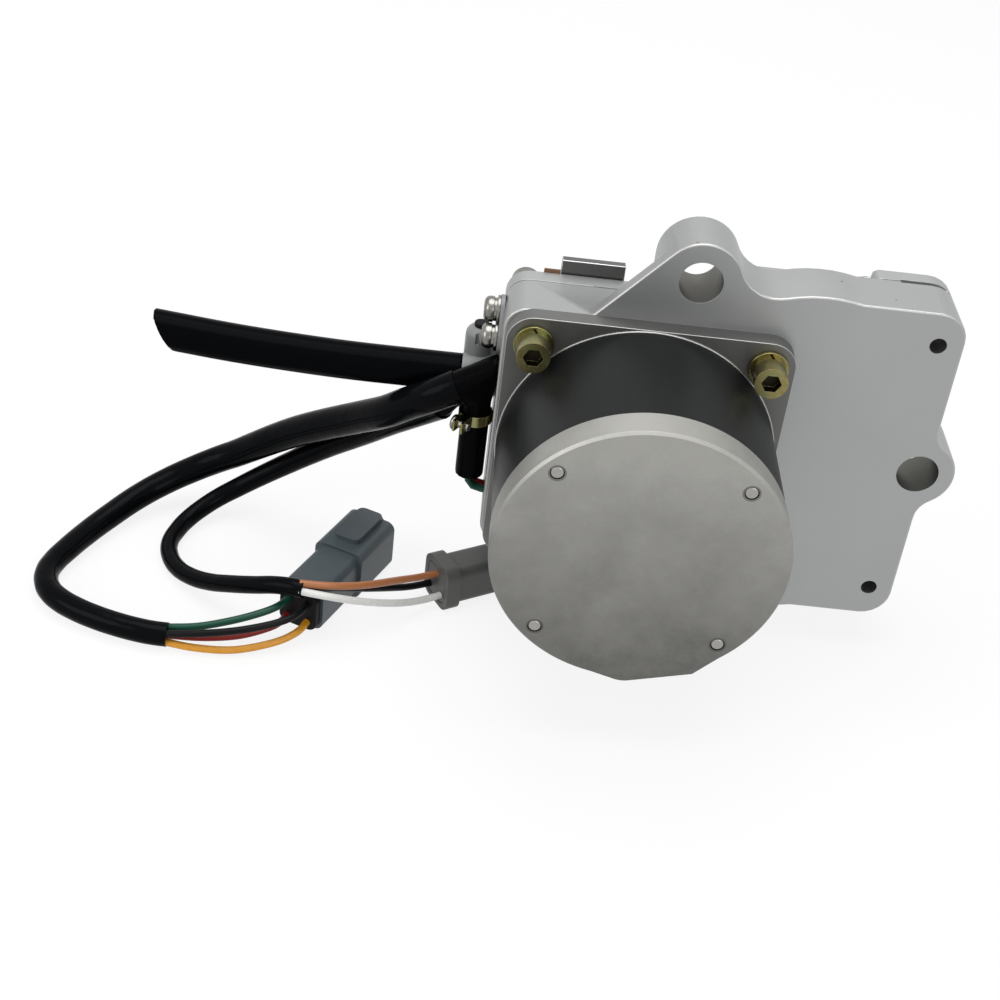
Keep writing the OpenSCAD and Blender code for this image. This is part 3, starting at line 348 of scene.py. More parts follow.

# %% [markdown]
# ## Metals with a history
#
# The turned cap has no paint: it is mottled, and a painted shade makes it darker towards the bottom. A
# painted shade also makes a dark ring round each of the four bolt ends, by the distance to their axes.
# Yellow passivation on zinc shifts in hue, which is a ramp of four colours. The can's paint shows faint
# brush lines along its axis.

# %% Cap, yellow zinc and black paint
# The reach and strength of a painted shade ring round each bolt end.
tie_half, shade_ring_reach, shade_ring_share = 0.0265, 0.0026, 0.60
# Painted shade: the cap grows darker towards the bottom, by a slope over its height.
shade_slope, shade_level = 11.0, 0.55


def round_the_motor(half):
    """The axes of four bolts in a square round the motor, as X and Z."""
    return [(motor_x + sx * half, sz * half) for sx in (-1, 1) for sz in (-1, 1)]


cap_raw = Finish("cap_raw", (0.345, 0.342, 0.322), 0.48, metallic=1.0)
# Painted shade by height, mixed with the cap's own mottling.
height = cap_raw.node("ShaderNodeSeparateXYZ", {}, {"Vector": cap_raw.place}, "Z") * shade_slope + shade_level
blotch = cap_raw.noise(48.0, detail=6.0, rough=0.7)
speck = cap_raw.noise(900.0, detail=3.0, rough=0.7)
mottle_and_shade = cap_raw.mix(height + (blotch - 0.5) * 0.8, cap_raw.colour * 0.30, cap_raw.colour * 1.06)
mottle_and_shade = cap_raw.mix(speck * 0.3, mottle_and_shade, cap_raw.colour * 0.75)
across_axis = cap_raw.node(
    "ShaderNodeVectorMath", {"operation": "MULTIPLY"}, {0: cap_raw.place, 1: (1, 0, 1)}, "Vector")
# Painted shade: a dark ring in the gap round each bolt end, by the distance to its axis.
for x, z in round_the_motor(tie_half):
    away = cap_raw.node(
        "ShaderNodeVectorMath", {"operation": "DISTANCE"}, {0: across_axis, 1: (x, 0, z)}, "Value")
    mottle_and_shade = cap_raw.mix((away < shade_ring_reach) * shade_ring_share, mottle_and_shade, cap_raw.colour * 0.22)
cap_raw.feed("Base Color", mottle_and_shade)
cap_raw.feed("Roughness", 0.40 + blotch * 0.12 + speck * 0.08)
cap_raw.bump(speck, 0.08, grain_depth)

zinc_yellow = Finish("zinc_yellow", (0.27, 0.235, 0.10), 0.26, metallic=1.0)
tint = zinc_yellow.noise(190.0, detail=3.0)
zinc_yellow.feed("Base Color", zinc_yellow.ramp(
    tint, (0.30, (0.17, 0.14, 0.045)), (0.48, (0.27, 0.235, 0.10)),
    (0.62, (0.22, 0.23, 0.10)), (0.75, (0.36, 0.31, 0.16))))
zinc_yellow.feed("Roughness", 0.20 + tint * 0.14)
# Painted shade for the insides of the screws' hex sockets.
socket_painted_shade = Finish("socket_painted_shade", (0.030, 0.027, 0.016), 0.45, metallic=1.0)

can_black = Finish("can_black", (0.0058, 0.0063, 0.0066), 0.36, Specular_IOR_Level=0.11)
brushed = can_black.noise(300.0, detail=3.0, rough=0.6, place=can_black.stretched(1.0, 0.12, 1.0))
can_black.feed("Base Color", can_black.shades(brushed, 0.25))
can_black.feed("Roughness", 0.34 + brushed * 0.12)
can_black.bump(can_black.noise(1800.0), 0.05, grain_depth)
print("cap, yellow zinc and paint ready")

# %% [markdown]
# ## Finishes for plastic and rubber
#
# Moulded plastic has a very fine grain that breaks up its highlight. Vinyl sleeves and rubber hoses are
# glossy with slow waves in the gloss, where the sleeve touches the leads inside it. Those waves are a
# low bump pattern, which bends the highlight as it runs along the cord. Black needs little shine, because
# a white studio is reflected in it from all sides.

# %% Plastics and rubbers
plastic_grain = 2600.0
wave_depth = 0.0006


def moulded(name, colour, roughness, spread=0.10):
    """Hard plastic or sheet with a fine grain."""
    finish = Finish(name, colour, roughness)
    cloud = finish.noise(120.0, detail=3.0)
    grain = finish.noise(plastic_grain, rough=0.6)
    finish.feed("Base Color", finish.shades(cloud * 0.6 + grain * 0.4, spread))
    finish.feed("Roughness", roughness - 0.06 + grain * 0.12)
    return finish.bump(grain, 0.08, grain_depth)


def flexible(name, colour, roughness, wave=220.0, relief=0.25, shine=0.5):
    """Rubber, vinyl or wire insulation with waves of a given scale and relief."""
    finish = Finish(name, colour, roughness, Specular_IOR_Level=shine)
    slow = finish.noise(wave, rough=0.4)
    dust = finish.noise(900.0, detail=3.0, rough=0.7)
    finish.feed("Base Color", finish.shades(dust, 0.18))
    finish.feed("Roughness", roughness - 0.05 + dust * 0.10)
    return finish.bump(slow, relief, wave_depth)


gasket_dark = moulded("gasket_dark", (0.035, 0.035, 0.035), 0.7)
gasket_brown = moulded("gasket_brown", (0.17, 0.09, 0.045), 0.75, spread=0.25)
sensor_plastic = moulded("sensor_plastic", (0.05, 0.05, 0.055), 0.5)
gear_plastic = moulded("gear_plastic", (0.70, 0.65, 0.53), 0.42)
fitting_grey = moulded("fitting_grey", (0.20, 0.206, 0.208), 0.45)
plug_blue = moulded("plug_blue", (0.050, 0.066, 0.074), 0.46)
plug_grey = moulded("plug_grey", (0.072, 0.076, 0.070), 0.50)
seal_rubber = flexible("seal_rubber", (0.006, 0.006, 0.0065), 0.45, wave=300.0, relief=0.10, shine=0.10)
hose_rubber = flexible("hose_rubber", (0.0016, 0.0018, 0.0024), 0.24, wave=120.0, relief=0.12, shine=0.016)
boot_rubber = flexible("boot_rubber", (0.0016, 0.0017, 0.0020), 0.24, wave=200.0, shine=0.020)
sleeve_vinyl = flexible("sleeve_vinyl", (0.0022, 0.0025, 0.0032), 0.18, relief=0.30, shine=0.035)
wire_green = flexible("wire_green", (0.004, 0.055, 0.032), 0.30, shine=0.25)
wire_black = flexible("wire_black", (0.005, 0.005, 0.006), 0.30, shine=0.10)
wire_red = flexible("wire_red", (0.22, 0.012, 0.008), 0.30, shine=0.25)
wire_yellow = flexible("wire_yellow", (0.62, 0.27, 0.012), 0.34)
wire_brown = flexible("wire_brown", (0.36, 0.135, 0.050), 0.34, shine=0.35)
wire_white = flexible("wire_white", (0.66, 0.66, 0.64), 0.40)
print("plastics ready")

# %% [markdown]
# ## Eased edges
#
# No real edge is a perfect corner. A copy of a solid's mesh is merged, its flat faces are joined up, and
# its sharp edges are bevelled by an operator. The new narrow faces can wear a second finish, which gives
# cast and machined parts a brighter edge line with a painted highlight.

# %% Meshes and edges
weld_reach = 2e-6
flat_angle, sharp_angle, shading_angle = math.radians(0.4), math.radians(32), math.radians(40)


def joined(shape):
    """The shape with its points merged and its flat faces joined up."""
    bmesh.ops.remove_doubles(shape, verts=shape.verts[:], dist=weld_reach)
    bmesh.ops.dissolve_limit(shape, angle_limit=flat_angle, verts=shape.verts[:], edges=shape.edges[:])
    return shape


def joined_copy(node):
    shape = bmesh.new()
    shape.from_mesh(nodes[node].data)
    return joined(shape)


def direction(edge):
    return (edge.verts[0].co - edge.verts[1].co).normalized()


def sharp_edges(shape, keep=None, angle=sharp_angle):
    return [e for e in shape.edges if len(e.link_faces) == 2
            and e.calc_face_angle() > angle and (keep is None or keep(e))]


def bevel(shape, edges, width, segments=2, edge_slot=0, clamp=True):
    made = bmesh.ops.bevel(shape, geom=edges, offset=width, offset_type="OFFSET", segments=segments,
                           profile=0.5, affect="EDGES", clamp_overlap=clamp, material=-1, loop_slide=True)
    for face in made["faces"]:
        face.material_index = edge_slot


print("mesh helpers ready")

# %% [markdown]
# ## From a mesh to a piece
#
# A piece that stands for a solid takes over its body, and the solid is hidden. Weighted normals keep the
# large faces flat next to their bevels. Soft rubber takes another way: a grid of small faces that is
# smoothed until all its forms melt into each other.

# %% Pieces that stand for solids
def dress(piece, node):
    """The piece stands for a solid: same body, and the solid is hidden."""
    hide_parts(node)
    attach(piece, body_of[node])


def object_from(shape, name, finishes, weighted=True):
    for face in shape.faces:
        face.smooth = True
    mesh = bpy.data.meshes.new(name)
    shape.to_mesh(mesh)
    shape.free()
    mesh.set_sharp_from_angle(angle=shading_angle)
    for finish in finishes:
        mesh.materials.append(finish.material)
    made = bpy.data.objects.new(name, mesh)
    scene.collection.objects.link(made)
    if weighted:
        weigh = made.modifiers.new("even_shading", "WEIGHTED_NORMAL")
        weigh.keep_sharp = True
        weigh.weight = 80
    return made


def piece_from(shape, node, *finishes):
    made = object_from(shape, node + "_piece", finishes)
    dress(made, node)
    print(node, "has", len(made.data.polygons), "faces")
    return made


def eased(node, width, *finishes, segments=2, mark=None):
    """A solid with its sharp edges eased. A second finish goes on the eased edges, or on marked faces."""
    shape = joined_copy(node)
    for face in shape.faces:
        face.material_index = 1 if mark and mark(face) else 0
    bevel(shape, sharp_edges(shape), width, segments, 0 if mark else len(finishes) - 1)
    return piece_from(shape, node, *finishes)


def softened(node, finish, voxel, rounds):
    """A solid with all its forms melted into each other, as in moulded rubber."""
    made = object_from(joined_copy(node), node + "_piece", [finish], weighted=False)
    even = made.modifiers.new("even_faces", "REMESH")
    even.mode = "VOXEL"
    even.voxel_size = voxel
    even.use_smooth_shade = True
    melt = made.modifiers.new("melt", "SMOOTH")
    melt.factor = 0.5
    melt.iterations = rounds
    dress(made, node)
    print(node, "is melted with a grid of", voxel)


print("piece helpers ready")

# %% [markdown]
# ## Cuts
#
# The casting has a pocket behind the web of each end lug, and a slot for a pry bar between case and cover.
# A prism is cut away for each of them. Its outline is in millimetres from the motor's axis, because that
# is how it was measured.

# %% Cutting a piece with prisms
def prism(corners, depths):
    """A prism over a flat outline in X and Z, from one depth in Y to another, in mm from the motor's axis."""
    near, far = depths
    shape = bmesh.new()
    face = shape.faces.new([shape.verts.new((x * mm + motor_x, near * mm, z * mm)) for x, z in corners])
    grown = bmesh.ops.extrude_face_region(shape, geom=[face])
    moved = [v for v in grown["geom"] if isinstance(v, bmesh.types.BMVert)]
    bmesh.ops.translate(shape, verts=moved, vec=(0, (far - near) * mm, 0))
    bmesh.ops.recalc_face_normals(shape, faces=shape.faces[:])
    return shape


def evaluated_mesh(thing):
    return bpy.data.meshes.new_from_object(thing.evaluated_get(bpy.context.evaluated_depsgraph_get()))


def carved(shape, prisms):
    """The shape less the prisms, by way of loose objects that go away again."""
    bodies = []
    for body in (shape, *prisms):
        bodies.append(bpy.data.objects.new("loose", bpy.data.meshes.new("loose")))
        body.to_mesh(bodies[-1].data)
        body.free()
        scene.collection.objects.link(bodies[-1])
    for tool in bodies[1:]:
        cut = bodies[0].modifiers.new("cut", "BOOLEAN")
        cut.operation, cut.solver, cut.object = "DIFFERENCE", "EXACT", tool
    made = bmesh.new()
    made.from_mesh(evaluated_mesh(bodies[0]))
    for body in bodies:
        bpy.data.objects.remove(body)
    return joined(made)


lug_x, lug_z, lug_r = 11.4, 57.0, 12.4
boss = [(lug_x + lug_r * math.cos(math.radians(a)), lug_z + lug_r * math.sin(math.radians(a)))
        for a in (180, 170, 160, 150, 140, 132)]
behind_web = [(-30, 42.5), (boss[0][0], 42.5), *boss, (-9, 80), (-30, 80)]
above_cover = [(-30, 42.5), (18, 42.5), (20.5, 45), (20.5, 80), (-30, 80)]
pry_slot = [(73.5, 53.4), (96, 53.4), (96, 60), (73.5, 60)]
case_depths, cover_depths, slot_depths = (4.5, 30), (10, 50), (18.0, 19.9)


def cuts(outline, depths):
    """The outline and its mirror image at the lower end, and the pry slot."""
    mirrored = [(x, -z) for x, z in outline]
    return [prism(outline, depths), prism(mirrored, depths), prism(pry_slot, slot_depths)]


print("a pocket has", len(behind_web), "corners")

# %% [markdown]
# ## Case and covers
#
# The gear case is an aluminium casting with a machined front face. Its outer front edge is rounded by
# about half a millimetre, and the other edges have a small chamfer, so they are bevelled in two passes.
# The edges of holes don't belong to the outer rim, and the bores of the lugs get a painted shade.

# %% Holes, bores and pockets
lug_reach, screw_reach, facing = 8.0 * mm, 3.2 * mm, 0.9
pocket_left, pocket_right, pocket_z, pocket_y = -0.115, -0.0845, 0.0424, 0.0044
lug_holes = [Vector(m["pos_m"]) for m in record["mounts"] if m["name"].endswith("lug_bore")]
screw_shape = joined_copy("cover_screws")
screw_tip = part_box("cover_screws")[0][1] + 1.0 * mm
screw_axes = [f.calc_center_median() for f in screw_shape.faces
              if -f.normal.y > facing and f.calc_center_median().y < screw_tip]
screw_shape.free()
print("the case has", len(lug_holes), "lug holes and", len(screw_axes), "screw holes")


def by_a_hole(edge):
    at = (edge.verts[0].co + edge.verts[1].co) / 2
    holes = [(hole, lug_reach) for hole in lug_holes] + [(axis, screw_reach) for axis in screw_axes]
    return any(math.hypot(at.x - hole.x, at.z - hole.z) < reach for hole, reach in holes)


def in_a_bore(face):
    at = face.calc_center_median()
    to_axis = [Vector((hole.x - at.x, 0, hole.z - at.z)) for hole in lug_holes]
    return any(way.length < lug_reach and way.normalized().dot(face.normal) > facing for way in to_axis)


def in_a_pocket(point):
    """In or just round one of the pockets behind the end lugs, whose crisp edges are left as they are."""
    return pocket_left < point.x < pocket_right and abs(point.z) > pocket_z and point.y > pocket_y


# %% Gear case, rear cover and gasket
rim_width, edge_width = 0.6 * mm, 0.25 * mm
rim_reach = 1e-5


def cast_piece(node, finish, rim_y, prisms):
    """A casting less some prisms, with a wide bevel on its rim at a given Y and a narrow one elsewhere."""
    shape = carved(joined_copy(node), prisms)
    for face in shape.faces:
        face.material_index = 0
    low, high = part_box(node)
    centre = (Vector(low) + Vector(high)) / 2

    def on_rim(edge):
        level = all(abs(v.co.y - rim_y) < rim_reach for v in edge.verts)
        walls = [f for f in edge.link_faces if abs(f.normal.y) < 0.1]
        out = bool(walls) and all((v.co - centre).dot(walls[0].normal) > 0 for v in edge.verts)
        return level and out and not by_a_hole(edge)

    def still_sharp(edge):
        clear_of_rim_bevel = all(f.material_index == 0 for f in edge.link_faces)
        return clear_of_rim_bevel and not any(in_a_pocket(v.co) for v in edge.verts)

    # The eased rim and edges wear the brighter edge finish, a painted highlight.
    bevel(shape, sharp_edges(shape, on_rim), rim_width, segments=3, edge_slot=1, clamp=False)
    bevel(shape, sharp_edges(shape, still_sharp), edge_width, segments=1, edge_slot=1)
    # Painted shade on the faces inside the lug bores.
    for face in shape.faces:
        if in_a_bore(face):
            face.material_index = 2
    piece_from(shape, node, finish, soft_edge_and_highlight, bore_painted_shade)


case_front, cover_back = 0.0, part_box("sensor_gasket")[0][1]
cast_piece("gear_case", case_cast, case_front, cuts(behind_web, case_depths))
cast_piece("rear_cover", cover_cast, cover_back, cuts(above_cover, cover_depths))
piece_from(carved(joined_copy("joint_gasket"), cuts(above_cover, cover_depths)), "joint_gasket", gasket_dark)
# The sensor cover in a painted shade, with a painted highlight on its eased edges.
eased("sensor_cover", 0.35 * mm, plate_in_painted_shade, bright_edge_and_highlight)
eased("sensor_gasket", 0.1 * mm, gasket_brown)
eased("cover_screws", 0.25 * mm, zinc_clear)
eased("sensor_cover_screws", 0.12 * mm, zinc_clear)

# %% [markdown]
# ## Motor
#
# The flange is darker than the case. Its rim and the lip round the can catch the light, helped by a
# painted highlight. The can is steel with a satin black paint, and the rear cap is raw aluminium whose flat
# pad has rounded corners. The screws are zinc plated with a yellow passivation, and their sockets get a
# painted shade inside.

# %% Flange and the lip round the can
# The flange's eased edges carry a painted highlight.
eased("motor_flange", 0.5 * mm, flange_metal, soft_edge_and_highlight)
seat_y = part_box("flat_washers")[1][1]
can_r = (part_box("motor_can")[1][0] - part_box("motor_can")[0][0]) / 2
lip_r, lip_sink = 0.35 * mm, 0.1 * mm
lip = bmesh.new()
bmesh.ops.create_circle(lip, segments=10, radius=lip_r, matrix=Matrix.Translation((can_r + lip_sink, 0, 0)))
bmesh.ops.spin(lip, geom=lip.verts[:] + lip.edges[:], cent=(0, 0, 0), axis=(0, 1, 0), angle=math.tau,
               steps=96, use_merge=True)
bmesh.ops.remove_doubles(lip, verts=lip.verts[:], dist=weld_reach)
bmesh.ops.recalc_face_normals(lip, faces=lip.faces[:])
bmesh.ops.translate(lip, verts=lip.verts[:], vec=(motor_x, seat_y - lip_sink, 0))
# The lip wears the brighter edge finish, a painted highlight.
can_lip = object_from(lip, "can_lip", [soft_edge_and_highlight])
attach(can_lip, body_of["motor_flange"])
print("the can sits in a lip of radius", round(can_r / mm, 1), "mm")

# %% Can, cap, bolts and screws
pad_top, pad_angle = -0.040, math.radians(9)
screw_half, socket_r, socket_mouth, socket_floor = 0.0348, 0.0031, 0.3 * mm, -0.0095


def on_pad(edge):
    return all(v.co.z < pad_top for v in edge.verts) and direction(edge).y ** 2 > 0.99


def in_a_socket(face):
    at = face.calc_center_median()
    inside = head_end + socket_mouth < at.y < socket_floor
    return inside and min(math.hypot(at.x - x, at.z - z) for x, z in round_the_motor(screw_half)) < socket_r


eased("motor_can", 0.25 * mm, can_black)
cap_shape = joined_copy("motor_rear_cap")
bevel(cap_shape, sharp_edges(cap_shape, on_pad, pad_angle), 2.0 * mm, segments=4)
bevel(cap_shape, sharp_edges(cap_shape), 0.2 * mm)
piece_from(cap_shape, "motor_rear_cap", cap_raw)
eased("tie_bolts", 0.7 * mm, bolt_end, segments=3)
head_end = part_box("motor_screws")[0][1]
# The hex sockets get a painted shade inside.
eased("motor_screws", 0.45 * mm, zinc_yellow, socket_painted_shade, mark=in_a_socket)
eased("spring_washers", 0.2 * mm, zinc_yellow)
eased("flat_washers", 0.2 * mm, zinc_yellow)

# %% [markdown]
# ## Left wall
#
# A grey fitting carries the hose, with bright screws beside it and a black rubber stopper on top of its
# post. Below it a black boot brings both cables together, held by a yellow band clamp.

# %% Fitting and its stopper
eased("hose_fitting", 0.5 * mm, fitting_grey)
eased("fitting_screws", 0.2 * mm, zinc_clear)
eased("fitting_washers", 0.25 * mm, zinc_clear)
post_top = Vector((-0.1392, 0.0192, 0.025))
stopper_r, stopper_h, stopper_lift = 2.3 * mm, 1.4 * mm, 0.5 * mm
stopper = bmesh.new()
bmesh.ops.create_cone(stopper, cap_ends=True, segments=32, radius1=stopper_r, radius2=stopper_r,
                      depth=stopper_h, matrix=Matrix.Translation(post_top + Vector((0, 0, stopper_lift))))
bevel(stopper, sharp_edges(stopper), 0.3 * mm)
fitting_stopper = object_from(stopper, "fitting_stopper", [seal_rubber])
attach(fitting_stopper, body_of["hose_fitting"])
print("the post of the fitting has a rubber stopper")

# %% Boot, clamp and inlet leads
softened("cable_boot", boot_rubber, voxel=0.5 * mm, rounds=14)
eased("boot_clip", 0.15 * mm, zinc_yellow)
eased("clip_screw", 0.15 * mm, zinc_clear)
eased("green_inlet_lead", 0.1 * mm, wire_green)
eased("red_inlet_lead", 0.1 * mm, wire_red)

# %% [markdown]
# ## Connectors
#
# Both connectors are moulded plastic with rounded edges, and the key on top of the motor's connector has
# rounder corners. That connector has a black rubber seal, and the sensor's has a grey one. The pieces are
# kept in a dictionary by name.

# %% Connector pieces
plug_pieces = {}
for name, width, finish in (
        ("motor_seal", 0.6, seal_rubber), ("motor_contacts", 0.2, contact_metal),
        ("sensor_connector", 0.7, plug_grey), ("sensor_seal", 0.5, plug_grey)):
    plug_pieces[name] = eased(name, width * mm, finish)

plug_shape = joined_copy("motor_connector")
key_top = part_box("motor_connector")[1][2] - 0.1 * mm
key_corners = [edge for edge in plug_shape.edges if len(edge.link_faces) == 2
               and max(v.co.z for v in edge.verts) > key_top and abs(direction(edge).z) > 0.95]
bevel(plug_shape, key_corners, 2.2 * mm, segments=5, clamp=False)
bevel(plug_shape, sharp_edges(plug_shape), 0.6 * mm, segments=3)
plug_pieces["motor_connector"] = piece_from(plug_shape, "motor_connector", plug_blue)
print("the key of the motor connector has", len(key_corners), "rounded corners")

# %% [markdown]
# ## Working parts inside
#
# The rotor, the gears and the sensor can't be seen in the photograph, but the model opens up in other
# scenes, so they get their own steel, copper, bronze and plastic. The stator core is a stack of thin
# plates with crisp edges, so it keeps its own mesh.

# %% Inner pieces
nodes["stator_core"].data.materials.clear()
nodes["stator_core"].data.materials.append(core_plates.material)
for name, width, finish in (
        ("stator_coils", 0.6, copper_wire), ("rotor_core", 0.2, core_plates),
        ("bearing_outer_rings", 0.3, steel_ground), ("bearing_inner_rings", 0.3, steel_ground),
        ("rotor_shaft", 0.3, steel_ground), ("motor_pinion", 0.1, steel_gear),
        ("sector_gear", 0.15, steel_gear), ("sector_pin", 0.1, steel_ground),
        ("output_shaft", 0.5, steel_ground), ("output_bushes", 0.3, bronze),
        ("dust_seal", 0.4, seal_rubber), ("shaft_ring", 0.1, steel_bright),
        ("sensor_gear", 0.1, gear_plastic), ("sensor_shaft", 0.3, steel_ground),
        ("sensor_body", 0.4, sensor_plastic)):
    eased(name, width * mm, finish)

# %% [markdown]
# ## Routes of the cords
#
# Each cord has a fixed length, so its route is a short list of points that was measured from the
# photograph and laid on the floor.

# %% Routes in metres
hose_path = [
    (-0.1440, 0.0160, 0.0094), (-0.1610, 0.0160, 0.0094), (-0.1790, 0.0160, 0.0095),
    (-0.1980, 0.0160, 0.0102), (-0.2170, 0.0160, 0.0114), (-0.2360, 0.0160, 0.0132)]
motor_cable_path = [
    (-0.1445, 0.0034, 0.0119), (-0.1480, 0.0032, 0.0100), (-0.1527, 0.0038, 0.0069),
    (-0.1588, 0.0070, 0.0019), (-0.1656, 0.0115, -0.0047), (-0.1727, 0.0180, -0.0114),
    (-0.1794, 0.0235, -0.0172), (-0.1890, 0.0300, -0.0248), (-0.1988, 0.0360, -0.0328),
    (-0.2086, 0.0400, -0.0406), (-0.2171, 0.0430, -0.0474), (-0.2300, 0.0430, -0.0546),
    (-0.2460, 0.0350, -0.0612), (-0.2590, 0.0180, -0.0646), (-0.2670, 0.0000, -0.0649),
    (-0.2695, -0.0110, -0.0649), (-0.2665, -0.0200, -0.0649), (-0.2590, -0.0265, -0.0649),
    (-0.2470, -0.0320, -0.0649), (-0.2340, -0.0354, -0.0649), (-0.2260, -0.0360, -0.0649)]
sensor_cable_path = [
    (-0.1486, 0.0081, 0.0010), (-0.1524, 0.0122, -0.0034), (-0.1587, 0.0172, -0.0097),
    (-0.1651, 0.0225, -0.0163), (-0.1717, 0.0275, -0.0232), (-0.1783, 0.0315, -0.0293),
    (-0.1851, 0.0350, -0.0352), (-0.1919, 0.0370, -0.0406), (-0.1987, 0.0385, -0.0461),
    (-0.2068, 0.0390, -0.0520), (-0.2155, 0.0382, -0.0579), (-0.2245, 0.0340, -0.0626),
    (-0.2320, 0.0250, -0.0658), (-0.2348, 0.0120, -0.0664), (-0.2300, 0.0000, -0.0660),
    (-0.2200, -0.0095, -0.0630), (-0.2060, -0.0185, -0.0560), (-0.1930, -0.0240, -0.0504),
    (-0.1855, -0.0260, -0.0496)]
green_path = [
    (-0.2275, -0.0344, -0.0634), (-0.2170, -0.0340, -0.0620), (-0.2060, -0.0315, -0.0600),
    (-0.1970, -0.0280, -0.0582), (-0.1925, -0.0245, -0.0574), (-0.1904, -0.0199, -0.0572)]
black_path = [
    (-0.2275, -0.0376, -0.0634), (-0.2160, -0.0380, -0.0615), (-0.2040, -0.0370, -0.0595),
    (-0.1930, -0.0335, -0.0580), (-0.1870, -0.0288, -0.0574), (-0.1840, -0.0227, -0.0572)]
red_path = [
    (-0.2275, -0.0344, -0.0664), (-0.2160, -0.0334, -0.0668), (-0.2050, -0.0310, -0.0666),
    (-0.1965, -0.0275, -0.0654), (-0.1926, -0.0246, -0.0645), (-0.1904, -0.0199, -0.0642)]
yellow_path = [
    (-0.2275, -0.0376, -0.0664), (-0.2170, -0.0384, -0.0670), (-0.2050, -0.0370, -0.0674),
    (-0.1930, -0.0330, -0.0660), (-0.1866, -0.0285, -0.0646), (-0.1840, -0.0227, -0.0642)]
signal_path = [
    (-0.1870, -0.0256, -0.0476), (-0.1770, -0.0240, -0.0486), (-0.1670, -0.0180, -0.0515),
    (-0.1570, -0.0085, -0.0555), (-0.1510, -0.0035, -0.0574), (-0.1440, 0.0010, -0.0580)]
ground_path = [
    (-0.1870, -0.0274, -0.0492), (-0.1770, -0.0265, -0.0510), (-0.1670, -0.0215, -0.0555),
    (-0.1570, -0.0135, -0.0610), (-0.1495, -0.0070, -0.0640), (-0.1424, -0.0021, -0.0644)]
supply_path = [
    (-0.1870, -0.0242, -0.0500), (-0.1770, -0.0210, -0.0515), (-0.1680, -0.0140, -0.0560),
    (-0.1590, -0.0050, -0.0615), (-0.1530, 0.0000, -0.0640), (-0.1460, 0.0040, -0.0644)]
print("ten routes, the longest with", len(motor_cable_path), "points")

# %% [markdown]
# ## Cables and leads
#
# A route is filled up with in-between points on a smooth curve, and a round curve object follows them. The
# sleeves are thicker near the boot, where they are slipped over its ends, and thin out in their middle
# third.

# %% Smooth curves through the routes
thinning_slope, thinning_start = 3, 1.1


def filled(route, count):
    """The route with evenly spread points on a smooth curve through its own."""
    route = [Vector(point) for point in route]
    ends = [2 * route[0] - route[1], *route, 2 * route[-1] - route[-2]]
    spans = len(route) - 1
    made = []
    for step in range(count):
        at = step * spans / (count - 1)
        i = min(int(at), spans - 1)
        t = at - i
        a, b, c, d = ends[i:i + 4]
        made.append(0.5 * (2 * b + (c - a) * t + (2 * a - 5 * b + 4 * c - d) * t ** 2
                           + (3 * b - a - 3 * c + d) * t ** 3))
    return made


def curve_along(name, points, radius, finish, caps=True, swell=(1.0, 1.0)):
    """A round curve, whose thickness goes from one share of the radius to another."""
    data = bpy.data.curves.new(name, "CURVE")
    data.dimensions = "3D"
    data.bevel_depth = radius
    data.bevel_resolution = 6
    data.resolution_u = 6
    data.use_fill_caps = caps
    line = data.splines.new("BEZIER")
    line.bezier_points.add(len(points) - 1)
    for i, (knot, point) in enumerate(zip(line.bezier_points, points)):
        thinned = min(1.0, max(0.0, i / len(points) * thinning_slope - thinning_start))
        knot.co = point
        knot.radius = swell[0] + (swell[1] - swell[0]) * thinned
        knot.handle_left_type = knot.handle_right_type = "AUTO"
    data.materials.append(finish.material)
    made = bpy.data.objects.new(name, data)
    scene.collection.objects.link(made)
    return made


def length_of(points):
    return sum((b - a).length for a, b in zip(points, points[1:]))


print("curve helpers ready")

# %% Cables and leads
lead_d = 0.0024
motor_plug = [plug_pieces[n] for n in ("motor_connector", "motor_contacts", "motor_seal")]
sensor_plug = [plug_pieces[n] for n in ("sensor_connector", "sensor_seal")]


def lay_cord(node, route, finish, count=16, diameter=lead_d, swell=(1.0, 1.0)):
    points = filled(route, count)
    made = curve_along(node + "_cord", points, diameter / 2, finish, swell=swell)
    dress(made, node)
    length_of(points)
    print(node, "is", round(length_of(points) / mm, 1), "mm long")


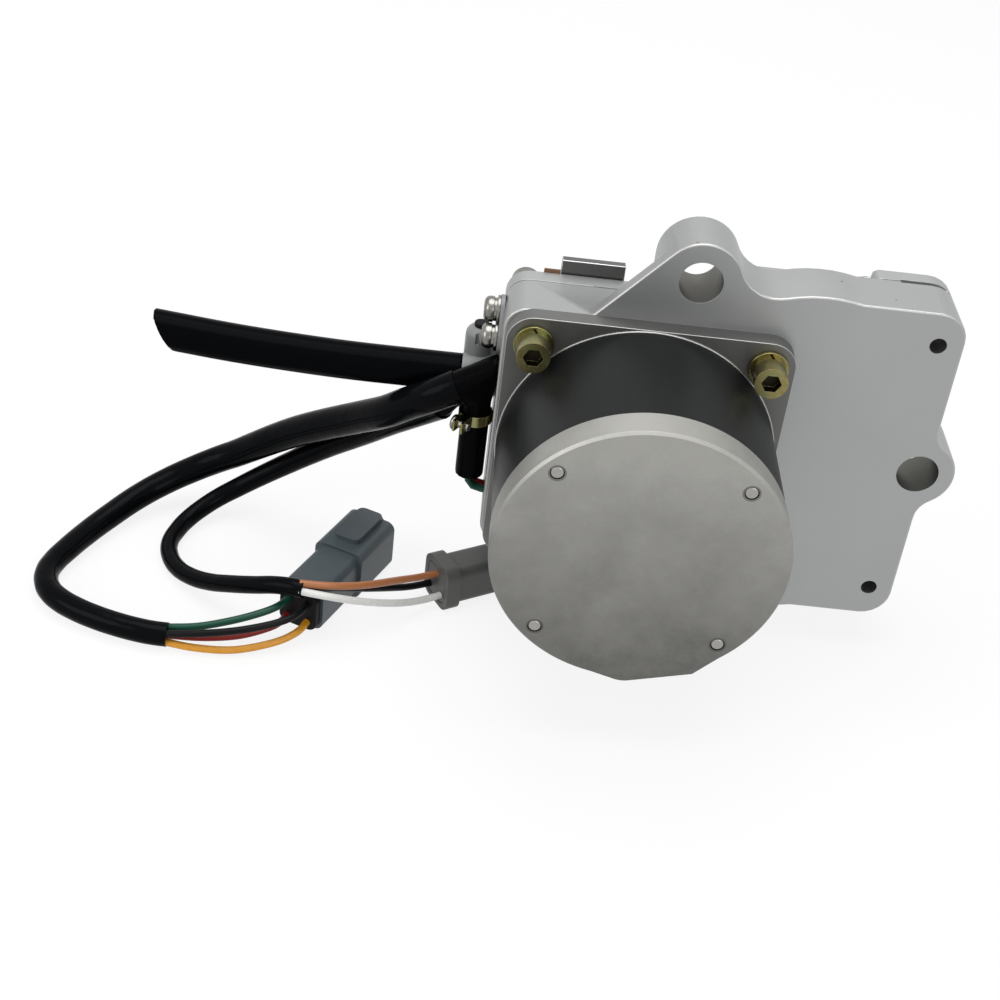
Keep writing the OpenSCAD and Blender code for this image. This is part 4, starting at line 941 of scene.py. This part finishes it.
lay_cord("motor_cable", motor_cable_path, sleeve_vinyl,
         count=37, diameter=0.009, swell=(1.18, 0.86))
lay_cord("sensor_cable", sensor_cable_path, sleeve_vinyl,
         count=33, diameter=0.006, swell=(1.28, 0.96))
for node, route, finish, plug in (
        ("green_lead", green_path, wire_green, motor_plug),
        ("black_lead", black_path, wire_black, motor_plug),
        ("red_lead", red_path, wire_red, motor_plug),
        ("yellow_lead", yellow_path, wire_yellow, motor_plug),
        ("signal_lead", signal_path, wire_brown, sensor_plug),
        ("ground_lead", ground_path, wire_white, sensor_plug),
        ("supply_lead", supply_path, wire_black, sensor_plug)):
    lay_cord(node, route, finish)

# %% [markdown]
# ## Hose
#
# The hose is hollow and cut obliquely. Its curve runs on past the end, becomes a mesh, is cut by a plane
# and is given a wall that grows inwards.

# %% Hose with a wall and an oblique end
hose_d, hose_wall, hose_cut_angle, hose_overrun = 0.0122, 0.0019, math.radians(30), 0.006
hose_points = filled(hose_path, count=18)
hose_end = hose_points[-1]
beyond = hose_end + (hose_end - hose_points[-2]).normalized() * hose_overrun
run = curve_along("hose_run", [*hose_points, beyond], hose_d / 2, hose_rubber, caps=False)
hose_mesh = evaluated_mesh(run)
bpy.data.objects.remove(run)
shape = bmesh.new()
shape.from_mesh(hose_mesh)
across = Vector((-math.cos(hose_cut_angle), 0, -math.sin(hose_cut_angle)))
bmesh.ops.bisect_plane(shape, geom=shape.verts[:] + shape.edges[:] + shape.faces[:], dist=1e-6,
                       plane_co=hose_end, plane_no=across, clear_outer=True)
shape.normal_update()
inside = hose_points[len(hose_points) // 3]
probe = min(shape.faces, key=lambda f: (f.calc_center_median() - inside).length)
if probe.normal.dot(probe.calc_center_median() - inside) < 0:
    bmesh.ops.reverse_faces(shape, faces=shape.faces[:])
for face in shape.faces:
    face.smooth = True
shape.to_mesh(hose_mesh)
shape.free()
hose = bpy.data.objects.new("vent_hose_cord", hose_mesh)
scene.collection.objects.link(hose)
wall = hose.modifiers.new("wall", "SOLIDIFY")
wall.thickness = hose_wall
wall.offset = -1.0
dress(hose, "vent_hose")
length_of(hose_points)
print("vent_hose is", round(length_of(hose_points) / mm, 1), "mm long")
